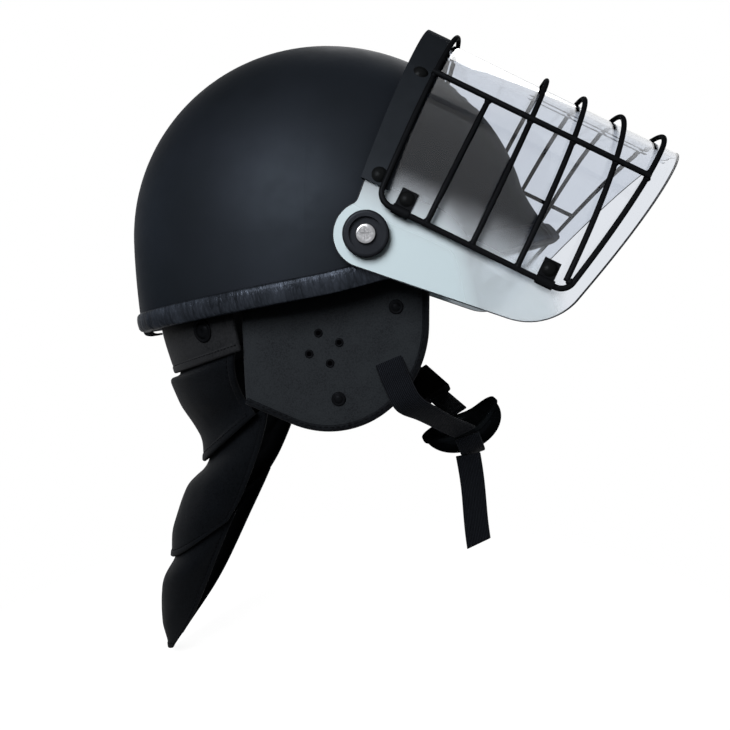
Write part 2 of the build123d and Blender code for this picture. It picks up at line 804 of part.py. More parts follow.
def ear_snaps():
    places = ((upper_snap_ahead, -upper_snap_down), (-lower_snap_behind, -lower_snap_down))
    snaps = []
    for sign, side in SIDES:
        for x, z in places:
            button = along_side(sign, snap_radius, ear_outer_y, ear_outer_y + snap_height, x, z)
            rim = button.edges().filter_by(GeomType.CIRCLE).sort_by(Axis.Y)[0 if sign < 0 else -1]
            snaps.append(fillet(rim, snap_height / 2))
    return snaps


def ear_eyelets():
    eyelets = []
    half = eyelet_spacing / math.sqrt(2)
    for sign, side in SIDES:
        for quarter in range(4):
            angle = 90 * quarter + eyelet_turn
            x = -eyelet_centre_behind + half * cosine(angle)
            z = -eyelet_centre_down + half * sine(angle)
            ring = along_side(sign, eyelet_outer_radius, ear_outer_y, ear_outer_y + eyelet_height, x, z)
            bore = along_side(sign, eyelet_bore_radius, 0, ear_outer_y + 2 * eyelet_height, x, z)
            eyelets.append(ring - bore)
    return eyelets


def cup_frame():
    """Location of the cup: its rim plane tipped up towards the front."""
    return Pos(cup_centre_ahead, 0, -cup_centre_down) * Rot(Y=-cup_pitch)


def cup_body(grow):
    """Ellipsoid of the cup, larger all round by grow, in the cup's own frame."""
    unit = Sphere(cup_depth + grow)
    factors = ((cup_length + grow) / (cup_depth + grow), (cup_half_width + grow) / (cup_depth + grow), 1)
    return scale(unit, by=factors)


def cup_below(lift):
    """Everything below the cup's rim line, which rises to a lip at the front."""
    reach = 2 * cup_half_width
    lip = (cup_length, cup_front_lip + lift)
    face = make_face(Polyline(
        (-reach, lift), (cup_lip_start, lift), lip, (reach, lip[1]), (reach, -reach), (-reach, -reach),
        close=True))
    knee = face.vertices().sort_by_distance(Vector(cup_lip_start, lift))[0]
    face = fillet(knee, cup_length)
    return extrude(Plane.XZ * face, amount=reach, both=True)


def chin_cup():
    bowl = (cup_body(0) - cup_body(-cup_wall)) & cup_below(0)
    rim = (cup_body(cup_rim_proud) - cup_body(-cup_wall)) & cup_below(0)
    rim = rim - cup_below(-cup_rim_height)
    cup = bowl + rim
    for sign in (-1, 1):
        hole = Rot(Z=sign * cup_hole_turn) * Rot(Y=cup_hole_tip) * Cylinder(cup_hole_radius, 4 * cup_length)
        half = Pos(2 * cup_length, 0, 0) * Box(4 * cup_length, 4 * cup_length, 4 * cup_length)
        cup = cup - (hole & half)
    return cup_frame() * cup


def cup_strap():
    """Webbing that passes under the cup from side to side."""
    shell = cup_body(webbing_thickness + cup_rim_proud) - cup_body(cup_rim_proud)
    below = cup_below(-cup_rim_height)
    slab = Box(webbing_width, 4 * cup_half_width, 4 * cup_half_width)
    return cup_frame() * (shell & below & slab)


def ribbon(stations, width, thickness):
    """Flat webbing through stations, each a point and the direction of its width."""
    faces = []
    for index, (point, wide) in enumerate(stations):
        before = stations[max(index - 1, 0)][0]
        after = stations[min(index + 1, len(stations) - 1)][0]
        plane = Plane(origin=point, x_dir=wide, z_dir=after - before)
        faces.append(plane * Rectangle(width, thickness))
    return loft(faces, ruled=True)


def strap_corners():
    """Where the left strap starts on the ear panel, turns at its edge and meets the cup."""
    proud = webbing_thickness / 2 + fit_gap
    face = ear_outer_y + proud
    rim = cup_half_width + cup_rim_proud + proud + fit_gap
    start = Vector(slit_ahead, face, -slit_down)
    clear = 2 * binding_proud + fit_gap
    corner = Vector(strap_corner_ahead, face + clear, -strap_corner_down)
    end = Vector(cup_centre_ahead, rim, -cup_centre_down)
    return start, corner, end


def strap_width_at(share):
    """Direction of the webbing's width, turning from the slit's pitch to the cup's."""
    pitch = slit_pitch + (cup_pitch - slit_pitch) * share
    return Vector(cosine(pitch), 0, sine(pitch))


def side_strap():
    """Left strap from the ear panel's face to the side of the cup."""
    start, corner, end = strap_corners()
    lifted = start + (corner - start) * strap_lift_share
    lifted = Vector(lifted.X, corner.Y, lifted.Z)
    points = [start, lifted, corner, corner + (end - corner) / 2, end]
    last = len(points) - 1
    stations = [(point, strap_width_at(index / last)) for index, point in enumerate(points)]
    return ribbon(stations, webbing_width, webbing_thickness)


def buckle_plane():
    """Plane across the left strap at the mouth of the buckle's socket."""
    start, corner, end = strap_corners()
    return Plane(origin=corner + (end - corner) * buckle_place_share, x_dir=strap_width_at(buckle_place_share),
                 z_dir=end - corner)


def buckle_socket():
    """Socket above the mouth, hollow for the plug, with a window at each side."""
    cavity = (buckle_width - 2 * buckle_wall, buckle_thickness - 2 * buckle_wall)
    body = Pos(0, 0, -socket_length / 2) * Box(buckle_width, buckle_thickness, socket_length)
    body = fillet(body.edges().filter_by(Axis.Z), buckle_wall)
    pocket = Pos(0, 0, -(socket_length - buckle_wall) / 2) * Box(*cavity, socket_length - buckle_wall)
    window = Pos(0, 0, -prong_length / 2) * Box(2 * buckle_width, cavity[1], prong_length / 3)
    return buckle_plane() * (body - pocket - window)


def buckle_plug():
    """Plug below the mouth, with a centre guide and two sprung prongs."""
    body = Pos(0, 0, plug_length / 2) * Box(buckle_width, buckle_thickness, plug_length)
    body = fillet(body.edges().filter_by(Axis.Z), buckle_wall)
    reach = (buckle_width - prong_width) / 2 - buckle_wall - fit_gap
    height = buckle_thickness - 2 * buckle_wall - 2 * fit_gap
    for x in (-reach, 0, reach):
        body = body + Pos(x, 0, -prong_length / 2) * Box(prong_width, height, prong_length)
    return buckle_plane() * body


def buckle_envelope():
    """Space that the closed buckle takes out of the left strap."""
    length = socket_length + plug_length
    middle = (plug_length - socket_length) / 2
    return buckle_plane() * (Pos(0, 0, middle) * Box(buckle_width, buckle_thickness, length))


def lame_section(rear_back, rear_down, side_back, side_out, side_down, thickness):
    """Curved slice of the nape guard through its rear middle and its two side ends."""
    rear = Vector(-rear_back, 0, -rear_down)
    side = Vector(-side_back, 0, -side_down)
    depth = (side - rear).length
    plane = Plane(origin=rear, x_dir=(side - rear).normalized(), z_dir=(side - rear).cross(Vector(0, 1, 0)))
    tip = thickness * lame_tip_share
    outer = ThreePointArc((depth, side_out), (0, 0), (depth, -side_out))
    inner = ThreePointArc((depth, side_out - tip), (thickness, 0), (depth, -side_out + tip))
    face = make_face([outer, inner, Line(outer @ 0, inner @ 0), Line(outer @ 1, inner @ 1)])
    return plane * face


def lame(shares):
    slices = []
    for rear_back, rear_down, side_back, side_out, side_down, crown in shares:
        thickness = lame_crown if crown else lame_skin
        slices.append(lame_section(
            nape_back * rear_back, nape_hem_down + nape_length * rear_down, nape_back * side_back,
            nape_half_width * side_out, nape_hem_down + nape_length * side_down, thickness))
    return loft(slices)


def nape_collar():
    """Leather collar round the back, its top edge against the liner inside the shell."""
    slices = []
    for rear_back, rear_down, side_back, side_out, side_down in collar_shares:
        slices.append(lame_section(
            nape_back * rear_back, nape_hem_down + nape_length * rear_down, nape_back * side_back,
            nape_half_width * side_out, nape_hem_down + nape_length * side_down, collar_thickness))
    return below_liner(loft(slices))


def collar_snap():
    """Cap of a snap on the collar's outer face, left side."""
    face = nape_collar().faces().sort_by(SortBy.AREA)[-1]
    place = Vector(-nape_back * collar_snap_back_share, nape_half_width, -collar_snap_down)
    seat = face.closest_points(Vertex(place))[0]
    plane = Plane(origin=seat, z_dir=face.normal_at(seat))
    cap = Pos(0, 0, collar_snap_height / 2) * Cylinder(collar_snap_radius, collar_snap_height)
    rim = cap.edges().filter_by(GeomType.CIRCLE).sort_by(Axis.Z)[-1]
    cap = fillet(rim, collar_snap_height / 2)
    dish = Pos(0, 0, collar_snap_height) * Cylinder(collar_snap_radius / 2, collar_snap_height)
    return plane * (cap - dish)


def shell_rear(z, grow):
    """How far back the shell's rear face lies at a height."""
    ratio = (z - shell_centre_up) / shell_skirt_semi_axis
    return -shell_centre_back - (shell_rear_reach + grow) * math.sqrt(1 - ratio * ratio)


def rear_retainer():
    """Strap down the back of the shell, under the trim and a little way up inside."""
    clear = trim_thickness + retainer_thickness / 2 + fit_gap
    low = rim_height(-shell_rear_reach - shell_centre_back) - retainer_thickness / 2 - retainer_slack
    middle = (low - retainer_top_down) / 2
    path = FilletPolyline(
        (shell_rear(-retainer_top_down, clear), -retainer_top_down),
        (shell_rear(middle, clear), middle),
        (shell_rear(low, clear + retainer_slack), low),
        (shell_rear(low, -shell_wall), low + retainer_slack), radius=retainer_bend_radius)
    path = Wire((Plane.XZ * path).edges())
    start = Plane(origin=path @ 0, x_dir=(0, 1, 0), z_dir=path % 0)
    return sweep(start * Rectangle(retainer_width, retainer_thickness), path=path)


def retainer_snap():
    x = shell_rear(-retainer_top_down, trim_thickness + retainer_thickness + fit_gap)
    middle = -retainer_top_down - retainer_width / 2
    cap = Pos(x - collar_snap_height / 2, 0, middle) * Cylinder(
        retainer_snap_radius, collar_snap_height, rotation=(0, 90, 0))
    return cap


def strap_tail():
    top = Vector(tail_ahead, -tail_aside, -tail_top_down)
    down = Vector(sine(tail_lean), 0, -cosine(tail_lean))
    stations = [(top + down * (tail_length * share), Vector(cosine(tail_lean), 0, sine(tail_lean)))
                for share in (0, 1)]
    return ribbon(stations, webbing_width, webbing_thickness)


outer_form = shell_form(0)
inner_form = shell_form(-shell_wall)
outer_shell = (outer_form - inner_form) & rim_block(trim_fold)
visor_lens = cut_lens()


def pivot_bores():
    """Screw holes through both walls of the shell."""
    return Cylinder(screw_shank_radius + running_clearance, 4 * shell_half_width, rotation=(90, 0, 0))


def visor_nodes():
    """Pieces of the visor, raised as at rest."""
    clips = [grille_clip(height) for height in (upper_clip_down, lower_clip_down)]
    clip_grip = clip_sheet + running_clearance + lens_thickness
    clip_rivets = [clip_rivet_plane(height) * dome_rivet(clip_grip)
                   for height in (upper_clip_down, lower_clip_down)]
    strip_grip = 2 * (strip_wall + running_clearance) + lens_thickness
    strip_rivets = [place * dome_rivet(strip_grip) for place in strip_rivet_places()]
    pieces = {
        "visor_lens": [visor_lens],
        "brow_strip": [brow_strip()],
        "strip_rivets": mirrored_group(strip_rivets),
        "grille_frame": [grille_frame()],
        "grille_centre_bar": [centre_bar()],
        "grille_clips": mirrored_group(clips),
        "grille_clip_rivets": mirrored_group(clip_rivets),
        "left_grille_upper_bar": [upper_bar()],
        "right_grille_upper_bar": [mirror(upper_bar(), about=Plane.XZ)],
    }
    for index in range(1, grille_bar_count + 1):
        pieces["grille_bar_" + str(index)] = [grille_bar(index)]
    return {name: [raised(piece) for piece in group] for name, group in pieces.items()}


def chin_strap_nodes():
    strap = side_strap()
    return {
        "left_chin_strap": [strap - buckle_envelope()],
        "right_chin_strap": [mirror(strap, about=Plane.XZ)],
        "cup_strap": [cup_strap()],
        "chin_cup": [chin_cup()],
        "buckle_socket": [buckle_socket()],
        "buckle_plug": [buckle_plug()],
        "strap_tail": [strap_tail()],
    }


def nape_nodes():
    return {
        "nape_collar": [nape_collar()],
        "collar_snaps": mirrored_group([collar_snap()]),
        "nape_upper_lame": [lame(upper_lame_shares)],
        "nape_middle_lame": [lame(middle_lame_shares)],
        "nape_lower_lame": [lame(lower_lame_shares)],
        "rear_retainer_strap": [rear_retainer()],
        "rear_retainer_snap": [retainer_snap()],
    }


def helmet_nodes():
    nodes = {
        "outer_shell": [outer_shell - pivot_bores()],
        "edge_trim": [edge_trim()],
        "impact_liner": [impact_liner()],
        "ear_panel_snaps": ear_snaps(),
        "ear_vent_eyelets": ear_eyelets(),
    }
    for name, pad in comfort_pads().items():
        nodes[name] = [pad]
    for sign, side in SIDES:
        nodes[side + "_ear_panel"] = [ear_panel(sign)]
        nodes[side + "_ear_binding"] = [ear_binding(sign)]
        nodes[side + "_strap_anchor"] = [strap_anchor(sign)]
        for name, piece in pivot_parts(sign).items():
            nodes[side + "_" + name] = [piece]
    return nodes


def write_nodes(nodes):
    os.makedirs("parts", exist_ok=True)
    for name, pieces in nodes.items():
        solids = [solid for piece in pieces for solid in piece.solids()]
        shape = solids[0] if len(solids) == 1 else Compound(children=solids)
        export_step(shape, "parts/" + name + ".step")


write_nodes({**helmet_nodes(), **visor_nodes(), **chin_strap_nodes(), **nape_nodes()})
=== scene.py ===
# %% [markdown]
# A riot helmet, finished in Blender around its measured solids.
# Each piece is loaded where it belongs, so this script only decides how it looks:
# materials come from nodes, and soft goods are modelled again as cloth, leather and webbing.

# %% Load the frame
import bpy
import bmesh
import json
import math
from mathutils import Matrix, Vector, noise
from mathutils.bvhtree import BVHTree


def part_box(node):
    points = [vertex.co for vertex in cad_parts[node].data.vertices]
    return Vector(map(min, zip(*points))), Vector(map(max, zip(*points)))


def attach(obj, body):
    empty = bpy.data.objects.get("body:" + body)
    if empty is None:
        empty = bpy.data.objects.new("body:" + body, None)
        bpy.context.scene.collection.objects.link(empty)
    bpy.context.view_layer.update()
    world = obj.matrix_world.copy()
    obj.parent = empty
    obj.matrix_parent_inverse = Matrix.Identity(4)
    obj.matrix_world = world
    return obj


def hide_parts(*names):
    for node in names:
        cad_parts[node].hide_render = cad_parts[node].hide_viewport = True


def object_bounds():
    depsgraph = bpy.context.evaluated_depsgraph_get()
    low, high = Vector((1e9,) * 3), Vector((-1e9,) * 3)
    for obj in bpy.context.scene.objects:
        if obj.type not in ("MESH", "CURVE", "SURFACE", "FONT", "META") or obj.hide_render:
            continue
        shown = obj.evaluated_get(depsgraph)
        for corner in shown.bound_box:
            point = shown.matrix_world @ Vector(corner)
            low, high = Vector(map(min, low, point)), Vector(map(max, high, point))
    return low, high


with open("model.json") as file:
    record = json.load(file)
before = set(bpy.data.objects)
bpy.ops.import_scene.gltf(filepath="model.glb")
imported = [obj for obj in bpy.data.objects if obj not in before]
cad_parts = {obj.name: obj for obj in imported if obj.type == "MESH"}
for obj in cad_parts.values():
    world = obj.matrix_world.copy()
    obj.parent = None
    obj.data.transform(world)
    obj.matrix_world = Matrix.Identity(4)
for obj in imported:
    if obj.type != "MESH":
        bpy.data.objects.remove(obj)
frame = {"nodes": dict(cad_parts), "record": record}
cad_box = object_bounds()

# %% [markdown]
# Two small tools serve all through: one puts an object in the scene, the other turns an
# editable mesh into data that an object can hold.


# %% Tools for objects
def put_in_scene(name, data):
    """A new object in the scene."""
    item = bpy.data.objects.new(name, data)
    bpy.context.scene.collection.objects.link(item)
    return item


def mesh_data(mesh, name):
    """Mesh data from a bmesh, which is freed."""
    data = bpy.data.meshes.new(name)
    mesh.to_mesh(data)
    mesh.free()
    return data


print("object tools ready")

# %% [markdown]
# The camera stands about half a metre from the helmet, level with the rim, and looks
# slightly down. Its three directions were worked out from the photograph's perspective.
# The field of view comes from the focal length in pixels over the width of the frame.

# %% Camera
FRAME_PIXELS = 730
FOCAL_PIXELS = 698.5
SENSOR_MM = 36.0
CAMERA_PLACE = Vector((0.024832, -0.500929, -0.032768))
CAMERA_RIGHT = Vector((0.99775459, 0.0669759, 0.0))
CAMERA_UP = Vector((-0.00661389, 0.09852849, 0.99511225))
camera_back = CAMERA_RIGHT.cross(CAMERA_UP)

camera_data = bpy.data.cameras.new("camera")
camera_data.sensor_width = SENSOR_MM
camera_data.lens = SENSOR_MM * FOCAL_PIXELS / FRAME_PIXELS
camera = put_in_scene("camera", camera_data)
turn = Matrix((CAMERA_RIGHT, CAMERA_UP, camera_back)).transposed()
camera.matrix_world = Matrix.Translation(CAMERA_PLACE) @ turn.to_4x4()
bpy.context.scene.camera = camera
bpy.context.scene.view_settings.view_transform = "Standard"
print("camera lens mm:", round(camera_data.lens, 2))

# %% [markdown]
# Looks are built from shader nodes. These tools add a node, feed its inputs, and make the
# noises, ramps, tints and bumps that the finishes share. Patterns are laid out on the
# object's own coordinates, which are metres here, so a scale of 1000 is a millimetre grain.


# %% Tools for node trees
def fill(tree, socket, value):
    """Sets an input to a plain value, or links it to another node's output."""
    if isinstance(value, bpy.types.NodeSocket):
        tree.links.new(value, socket)
    else:
        socket.default_value = value


def add_node(tree, kind, inputs=None, **settings):
    """Adds a node. An input is a plain value or another node's output."""
    item = tree.nodes.new(kind)
    for key, value in settings.items():
        setattr(item, key, value)
    for key, value in (inputs or {}).items():
        fill(tree, item.inputs[key], value)
    return item


def feed(tree, shader, **sockets):
    """Fills a shader's inputs, whose names are written with underscores."""
    for key, value in sockets.items():
        fill(tree, shader.inputs[key.replace("_", " ")], value)


print("node tools ready")


# %% Numbers, patterns and colours
def maths(tree, operation, first, second=0.0, third=0.0, **settings):
    """Output of a Math node, which uses as many inputs as its operation needs."""
    return add_node(tree, "ShaderNodeMath", {0: first, 1: second, 2: third}, operation=operation,
                    **settings).outputs[0]


def between(tree, value, low, high, start, end, **settings):
    """Maps a value's range to another and stops at its ends."""
    return add_node(tree, "ShaderNodeMapRange", {
        "Value": value, "From Min": low, "From Max": high, "To Min": start, "To Max": end},
        clamp=True, **settings).outputs["Result"]


def cloudy(tree, vector, scale, detail=3.0, roughness=0.5, distortion=0.0):
    """Soft noise from 0 to 1."""
    return add_node(tree, "ShaderNodeTexNoise", {
        "Vector": vector, "Scale": scale, "Detail": detail, "Roughness": roughness,
        "Distortion": distortion}).outputs["Fac"]


def cells(tree, vector, scale, feature="F1"):
    """Distance inside the cells of a Voronoi pattern."""
    return add_node(tree, "ShaderNodeTexVoronoi", {"Vector": vector, "Scale": scale},
                    feature=feature).outputs["Distance"]


def tinted(tree, value, dark, light):
    """Colour that runs from dark to light with a value. Either end may be another output."""
    mix = add_node(tree, "ShaderNodeMix", {"Factor": value}, data_type="RGBA")
    for socket, colour in zip([s for s in mix.inputs if s.type == "RGBA"], (dark, light)):
        fill(tree, socket, colour)
    return [s for s in mix.outputs if s.type == "RGBA"][0]


def place_of(tree, stretch=(1, 1, 1), source="Object"):
    """Coordinates of a point on the piece, stretched."""
    where = add_node(tree, "ShaderNodeTexCoord").outputs[source]
    return add_node(tree, "ShaderNodeMapping", {"Vector": where, "Scale": stretch}).outputs["Vector"]


def distance_along(tree, place, direction):
    """How far a point lies along a direction."""
    dot = add_node(tree, "ShaderNodeVectorMath", {0: place, 1: direction}, operation="DOT_PRODUCT")
    return dot.outputs["Value"]


def relief(tree, shader, height, depth, strength):
    """Bump from a height, with its depth in metres."""
    bump = add_node(tree, "ShaderNodeBump", {"Height": height, "Strength": strength, "Distance": depth})
    feed(tree, shader, Normal=bump.outputs["Normal"])


def seen_directly(tree):
    """One for rays from the camera, from gloss and through glass, and zero for light."""
    rays = add_node(tree, "ShaderNodeLightPath").outputs
    bare = maths(tree, "MAXIMUM", rays["Is Camera Ray"], rays["Is Glossy Ray"])
    return maths(tree, "MAXIMUM", bare, rays["Is Transmission Ray"])


print("pattern tools ready")


# %% Base of every finish
def srgb(red, green, blue):
    """A colour written as 0 to 255, as a linear colour with full alpha."""
    def line(value):
        share = value / 255
        return share / 12.92 if share <= 0.04045 else ((share + 0.055) / 1.055) ** 2.4
    return line(red), line(green), line(blue), 1.0


def new_finish(name, roughness, specular, **sockets):
    """A Principled material whose plain values sit on the shader's own sockets."""
    material = bpy.data.materials.new(name)
    material.use_nodes = True
    tree = material.node_tree
    shader = tree.nodes["Principled BSDF"]
    feed(tree, shader, Roughness=roughness, Specular_IOR_Level=specular, **sockets)
    return material, tree, shader


WHITE = (1, 1, 1, 1)
print("finish tools ready")

# %% [markdown]
# The studio is plain. One large soft lamp stands behind the camera's left shoulder, where
# its mirror image misses the visor, and weaker ones reach the top, the far side, the rear
# and the front. The world is dim for the lamps' sake, but the camera, gloss and glass see
# it as plain white, so the helmet stands in front of a white backdrop.

# %% World
WORLD_FILL = 0.15
world = bpy.data.worlds.new("studio")
world.use_nodes = True
bpy.context.scene.world = world
tree = world.node_tree
level = between(tree, seen_directly(tree), 0, 1, WORLD_FILL, 1.0)
feed(tree, tree.nodes["Background"], Color=WHITE, Strength=level)
print("world fill:", WORLD_FILL)

# %% Lamps
HELMET_MIDDLE = Vector((0.0, 0.0, -0.03))
LAMPS = (
    ("key_lamp", (-0.42, -1.20, 0.60), 0.7, 27), ("top_lamp", (0.1, 0.1, 1.7), 1.2, 2),
    ("far_lamp", (0.2, 1.2, 1.3), 1.0, 14), ("rear_lamp", (-1.6, 0.4, 0.3), 1.0, 8),
    ("front_lamp", (1.7, 0.5, 0.3), 1.0, 12))
for name, place, size, watts in LAMPS:
    data = bpy.data.lights.new(name, "AREA")
    data.size = size
    data.energy = watts
    lamp = put_in_scene(name, data)
    lamp.location = place
    lamp.visible_transmission = False
    lamp.rotation_euler = (HELMET_MIDDLE - Vector(place)).to_track_quat("-Z", "Y").to_euler()
print("lamps:", [lamp[0] for lamp in LAMPS])

# %% [markdown]
# The floor is a pale plane just under the lowest point of the nape guard. It is lit like
# anything else and keeps the helmet's shadow. The camera also sees a little light of its
# own in it, so that it meets the white backdrop without a line.

# %% Floor
FLOOR_GAP, FLOOR_REACH = 0.004, 6.0
FLOOR_NEAR, FLOOR_FAR = 0.12, 0.45
FLOOR_PAINT, FLOOR_GLOW = 0.60, 0.62
floor_mesh = bmesh.new()
bmesh.ops.create_grid(floor_mesh, x_segments=1, y_segments=1, size=FLOOR_REACH)
bmesh.ops.translate(floor_mesh, verts=floor_mesh.verts, vec=(0, 0, cad_box[0][2] - FLOOR_GAP))
floor = put_in_scene("floor", mesh_data(floor_mesh, "floor"))
pale, tree, shader = new_finish("pale_floor", 0.9, 0.0)
spot = add_node(tree, "ShaderNodeTexCoord").outputs["Object"]
away = add_node(tree, "ShaderNodeVectorMath", {0: spot}, operation="LENGTH").outputs["Value"]
fade = between(tree, away, FLOOR_NEAR, FLOOR_FAR, FLOOR_GLOW, 1.0)
paint = between(tree, away, FLOOR_NEAR, FLOOR_FAR, FLOOR_PAINT, 0.0)
feed(tree, shader, Base_Color=paint, Emission_Color=WHITE,
     Emission_Strength=maths(tree, "MULTIPLY", seen_directly(tree), fade))
floor.data.materials.append(pale)
print("floor height:", round(cad_box[0][2] - FLOOR_GAP, 4))

# %% [markdown]
# Finishes come next. Most of the helmet is black, so the pieces are told apart by how
# they shine and by their grain: satin lacquer, wrinkled leather, pebbled leather cloth,
# ribbed webbing, powder-coated wire and moulded plastic.
#
# The photograph's blacks stay black up to their edges, where plain gloss would mirror the
# white backdrop. So the black coatings carry part of their shine as a dark metal-like
# flake, whose shine near the edges is held back by a grey specular tint. Much less tint
# than this would show a dark ring on the shell, where the shine runs out.

# %% Satin black lacquer of the shell
EDGE_SHINE = (0.46, 0.46, 0.46, 1.0)


def satin_lacquer():
    finish, tree, shader = new_finish("satin_lacquer", 0.5, 0.0, Metallic=0.96, Specular_Tint=EDGE_SHINE)
    spot = place_of(tree)
    cloud = between(tree, cloudy(tree, spot, 14, 4), 0.35, 0.65, 0, 1)
    feed(tree, shader, Base_Color=tinted(tree, cloud, srgb(24, 27, 31), srgb(27, 30, 35)),
         Roughness=between(tree, cloudy(tree, spot, 60, 5, 0.6), 0.3, 0.7, 0.50, 0.57))
    relief(tree, shader, cloudy(tree, spot, 2600, 2), 0.00002, 0.25)
    return finish


# %% [markdown]
# The edge trim is soft leather that puckers where it goes round the rim, so its folds run
# across it, on the welt's own UV map. The panels and the guard are leather cloth, a coated
# fabric whose even pebble comes from smooth Voronoi cells.

# %% Leathers
def wrinkled_leather():
    """Folds that run across the trim, with fine shallow cracks between them."""
    finish, tree, shader = new_finish("wrinkled_leather", 0.4, 0.0, Metallic=0.7, Specular_Tint=EDGE_SHINE)
    folds = cloudy(tree, place_of(tree, (1, 0.14, 1), "UV"), 420, 4, 0.6, 0.5)
    broad = cloudy(tree, place_of(tree, (1, 0.5, 1), "UV"), 60, 3)
    edges = cells(tree, place_of(tree, (1, 0.35, 1), "UV"), 520, "DISTANCE_TO_EDGE")
    height = maths(tree, "MULTIPLY", between(tree, edges, 0, 0.3, 0.72, 1), folds)
    # The colour runs darker into the fold valleys and cracks and lighter onto the crests: painted shade and
    # painted highlight that follow the bump, with the broad cloud as the leather's uneven tone.
    shade = between(tree, maths(tree, "ADD", height, broad), 0.65, 1.15, 0, 1)
    feed(tree, shader, Base_Color=tinted(tree, shade, srgb(16, 18, 21), srgb(43, 47, 54)),
         Roughness=between(tree, folds, 0.3, 0.7, 0.46, 0.30))
    relief(tree, shader, height, 0.0008, 0.9)
    return finish


def pebbled_cloth(name, dark, light, grain_scale, depth):
    """Leather cloth with a small even pebble."""
    finish, tree, shader = new_finish(name, 0.62, 0.01, Sheen_Weight=0.01, Sheen_Roughness=0.5)
    spot = place_of(tree)
    pebble = cells(tree, spot, grain_scale, "SMOOTH_F1")
    cloud = cloudy(tree, spot, 55, 5, 0.6)
    shade = between(tree, maths(tree, "MULTIPLY", pebble, cloud), 0.12, 0.42, 1, 0)
    feed(tree, shader, Base_Color=tinted(tree, shade, dark, light),
         Roughness=between(tree, cloud, 0.3, 0.7, 0.68, 0.55))
    relief(tree, shader, between(tree, pebble, 0, 0.8, 1, 0), depth, 0.6)
    return finish


# %% [markdown]
# Webbing is woven in ribs along the strap. Two waves do it: bands along the UV map for the
# ribs and finer ones across for the picks.

# %% Webbing
def ribbed_webbing():
    """Ribs along the strap, crossed by fine picks."""
    finish, tree, shader = new_finish("ribbed_webbing", 0.75, 0.02, Sheen_Weight=0.01, Sheen_Roughness=0.4)
    ribs, picks = [add_node(tree, "ShaderNodeTexWave", {
        "Vector": place_of(tree, source="UV"), "Scale": scale, "Distortion": distortion, "Detail": detail},
        wave_type="BANDS", bands_direction=direction).outputs["Fac"]
        for scale, distortion, detail, direction in ((290, 0.4, 1, "Y"), (420, 1.2, 2, "X"))]
    weave = maths(tree, "MULTIPLY_ADD", ribs, picks, ribs)
    shade = between(tree, weave, 0.3, 1.6, 0, 1)
    feed(tree, shader, Base_Color=tinted(tree, shade, srgb(8, 9, 12), srgb(25, 28, 33)))
    relief(tree, shader, weave, 0.00025, 0.8)
    return finish


# %% [markdown]
# Cup, buckle, knobs, strip, rivets and the coated wire differ only in colour, gloss and
# grain, so one function makes them all. A dark flake keeps their edges black as well.

# %% Hard black finishes
def moulded_plastic(name, colour, roughness, grain, depth):
    """Hard black finish whose colour and gloss vary a little."""
    finish, tree, shader = new_finish(name, roughness, 0.0, Metallic=0.35, Specular_Tint=(0, 0, 0, 1))
    spot = place_of(tree)
    cloud = cloudy(tree, spot, 90, 4)
    dark = tuple(0.75 * c for c in colour[:3]) + (1.0,)
    feed(tree, shader, Base_Color=tinted(tree, cloud, dark, colour),
         Roughness=between(tree, cloud, 0.3, 0.7, roughness - 0.05, roughness + 0.06))
    relief(tree, shader, cloudy(tree, spot, grain, 2), depth, 0.5)
    return finish


# %% [markdown]
# The pivot's screws are bright plated steel, a little worn. Inside the shell are a liner of
# moulded bead foam and pads with a knitted cover.

# %% Bright metal, foam and knit
def plated_metal():
    finish, tree, shader = new_finish("plated_metal", 0.16, 0.5, Metallic=1.0)
    wear = cloudy(tree, place_of(tree), 800, 4)
    feed(tree, shader, Base_Color=tinted(tree, wear, srgb(128, 129, 132), srgb(164, 165, 168)),
         Roughness=between(tree, wear, 0.3, 0.7, 0.10, 0.26))
    relief(tree, shader, wear, 0.00003, 0.4)
    return finish


def bead_foam():
    finish, tree, shader = new_finish("bead_foam", 0.85, 0.2)
    beads = cells(tree, place_of(tree), 330, "DISTANCE_TO_EDGE")
    shade = between(tree, beads, 0, 0.12, 0, 1)
    feed(tree, shader, Base_Color=tinted(tree, shade, srgb(24, 24, 26), srgb(58, 58, 60)))
    relief(tree, shader, between(tree, beads, 0, 0.2, 0, 1), 0.0004, 0.7)
    return finish


def knitted_cover():
    finish, tree, shader = new_finish("knitted_cover", 0.9, 0.15, Sheen_Weight=0.5, Sheen_Roughness=0.5)
    knit = cells(tree, place_of(tree), 620)
    feed(tree, shader, Base_Color=tinted(tree, knit, srgb(70, 71, 74), srgb(34, 35, 38)))
    relief(tree, shader, between(tree, knit, 0, 0.8, 1, 0), 0.0005, 0.8)
    return finish


# %% [markdown]
# The visor is a clear sheet with a faint blue-grey tint. On the real one the flat ear and the strip beside
# the rear edge look white with the reflection of a large studio softbox, a fainter reflection reaches on over
# the dark shell, and the rest is clear. Here that reflection is painted into the sheet. One shader does it
# all: the painted reflection, milky white and nearly opaque, comes in where the distance ahead of the rear
# edge gets small, along the raised visor's own direction.

# %% Clear visor
VISOR_RAISE = math.radians(64)
RAISED_AHEAD = (math.cos(VISOR_RAISE), 0, math.sin(VISOR_RAISE))
RAISED_UP = (-math.sin(VISOR_RAISE), 0, math.cos(VISOR_RAISE))
# Where the painted softbox reflection lies on the sheet, how faint it gets over the shell, and its milky
# white colour.
REFLECTION_AHEAD = (0.98, 0, 0.2)
REFLECTION_ROW, REFLECTION_FRONT, FAINT_REFLECTION_FRONT = (0.004, 0.044), (0.040, 0.064), (0.084, 0.100)
FAINT_REFLECTION_SHARE = 0.55
CLEAR_TINT, PAINTED_REFLECTION_COLOUR, PAINTED_EDGE_SHADE = (0.74, 0.77, 0.82, 1), srgb(186, 201, 207), srgb(58, 62, 68)
FLAT_WALL_END = 0.075


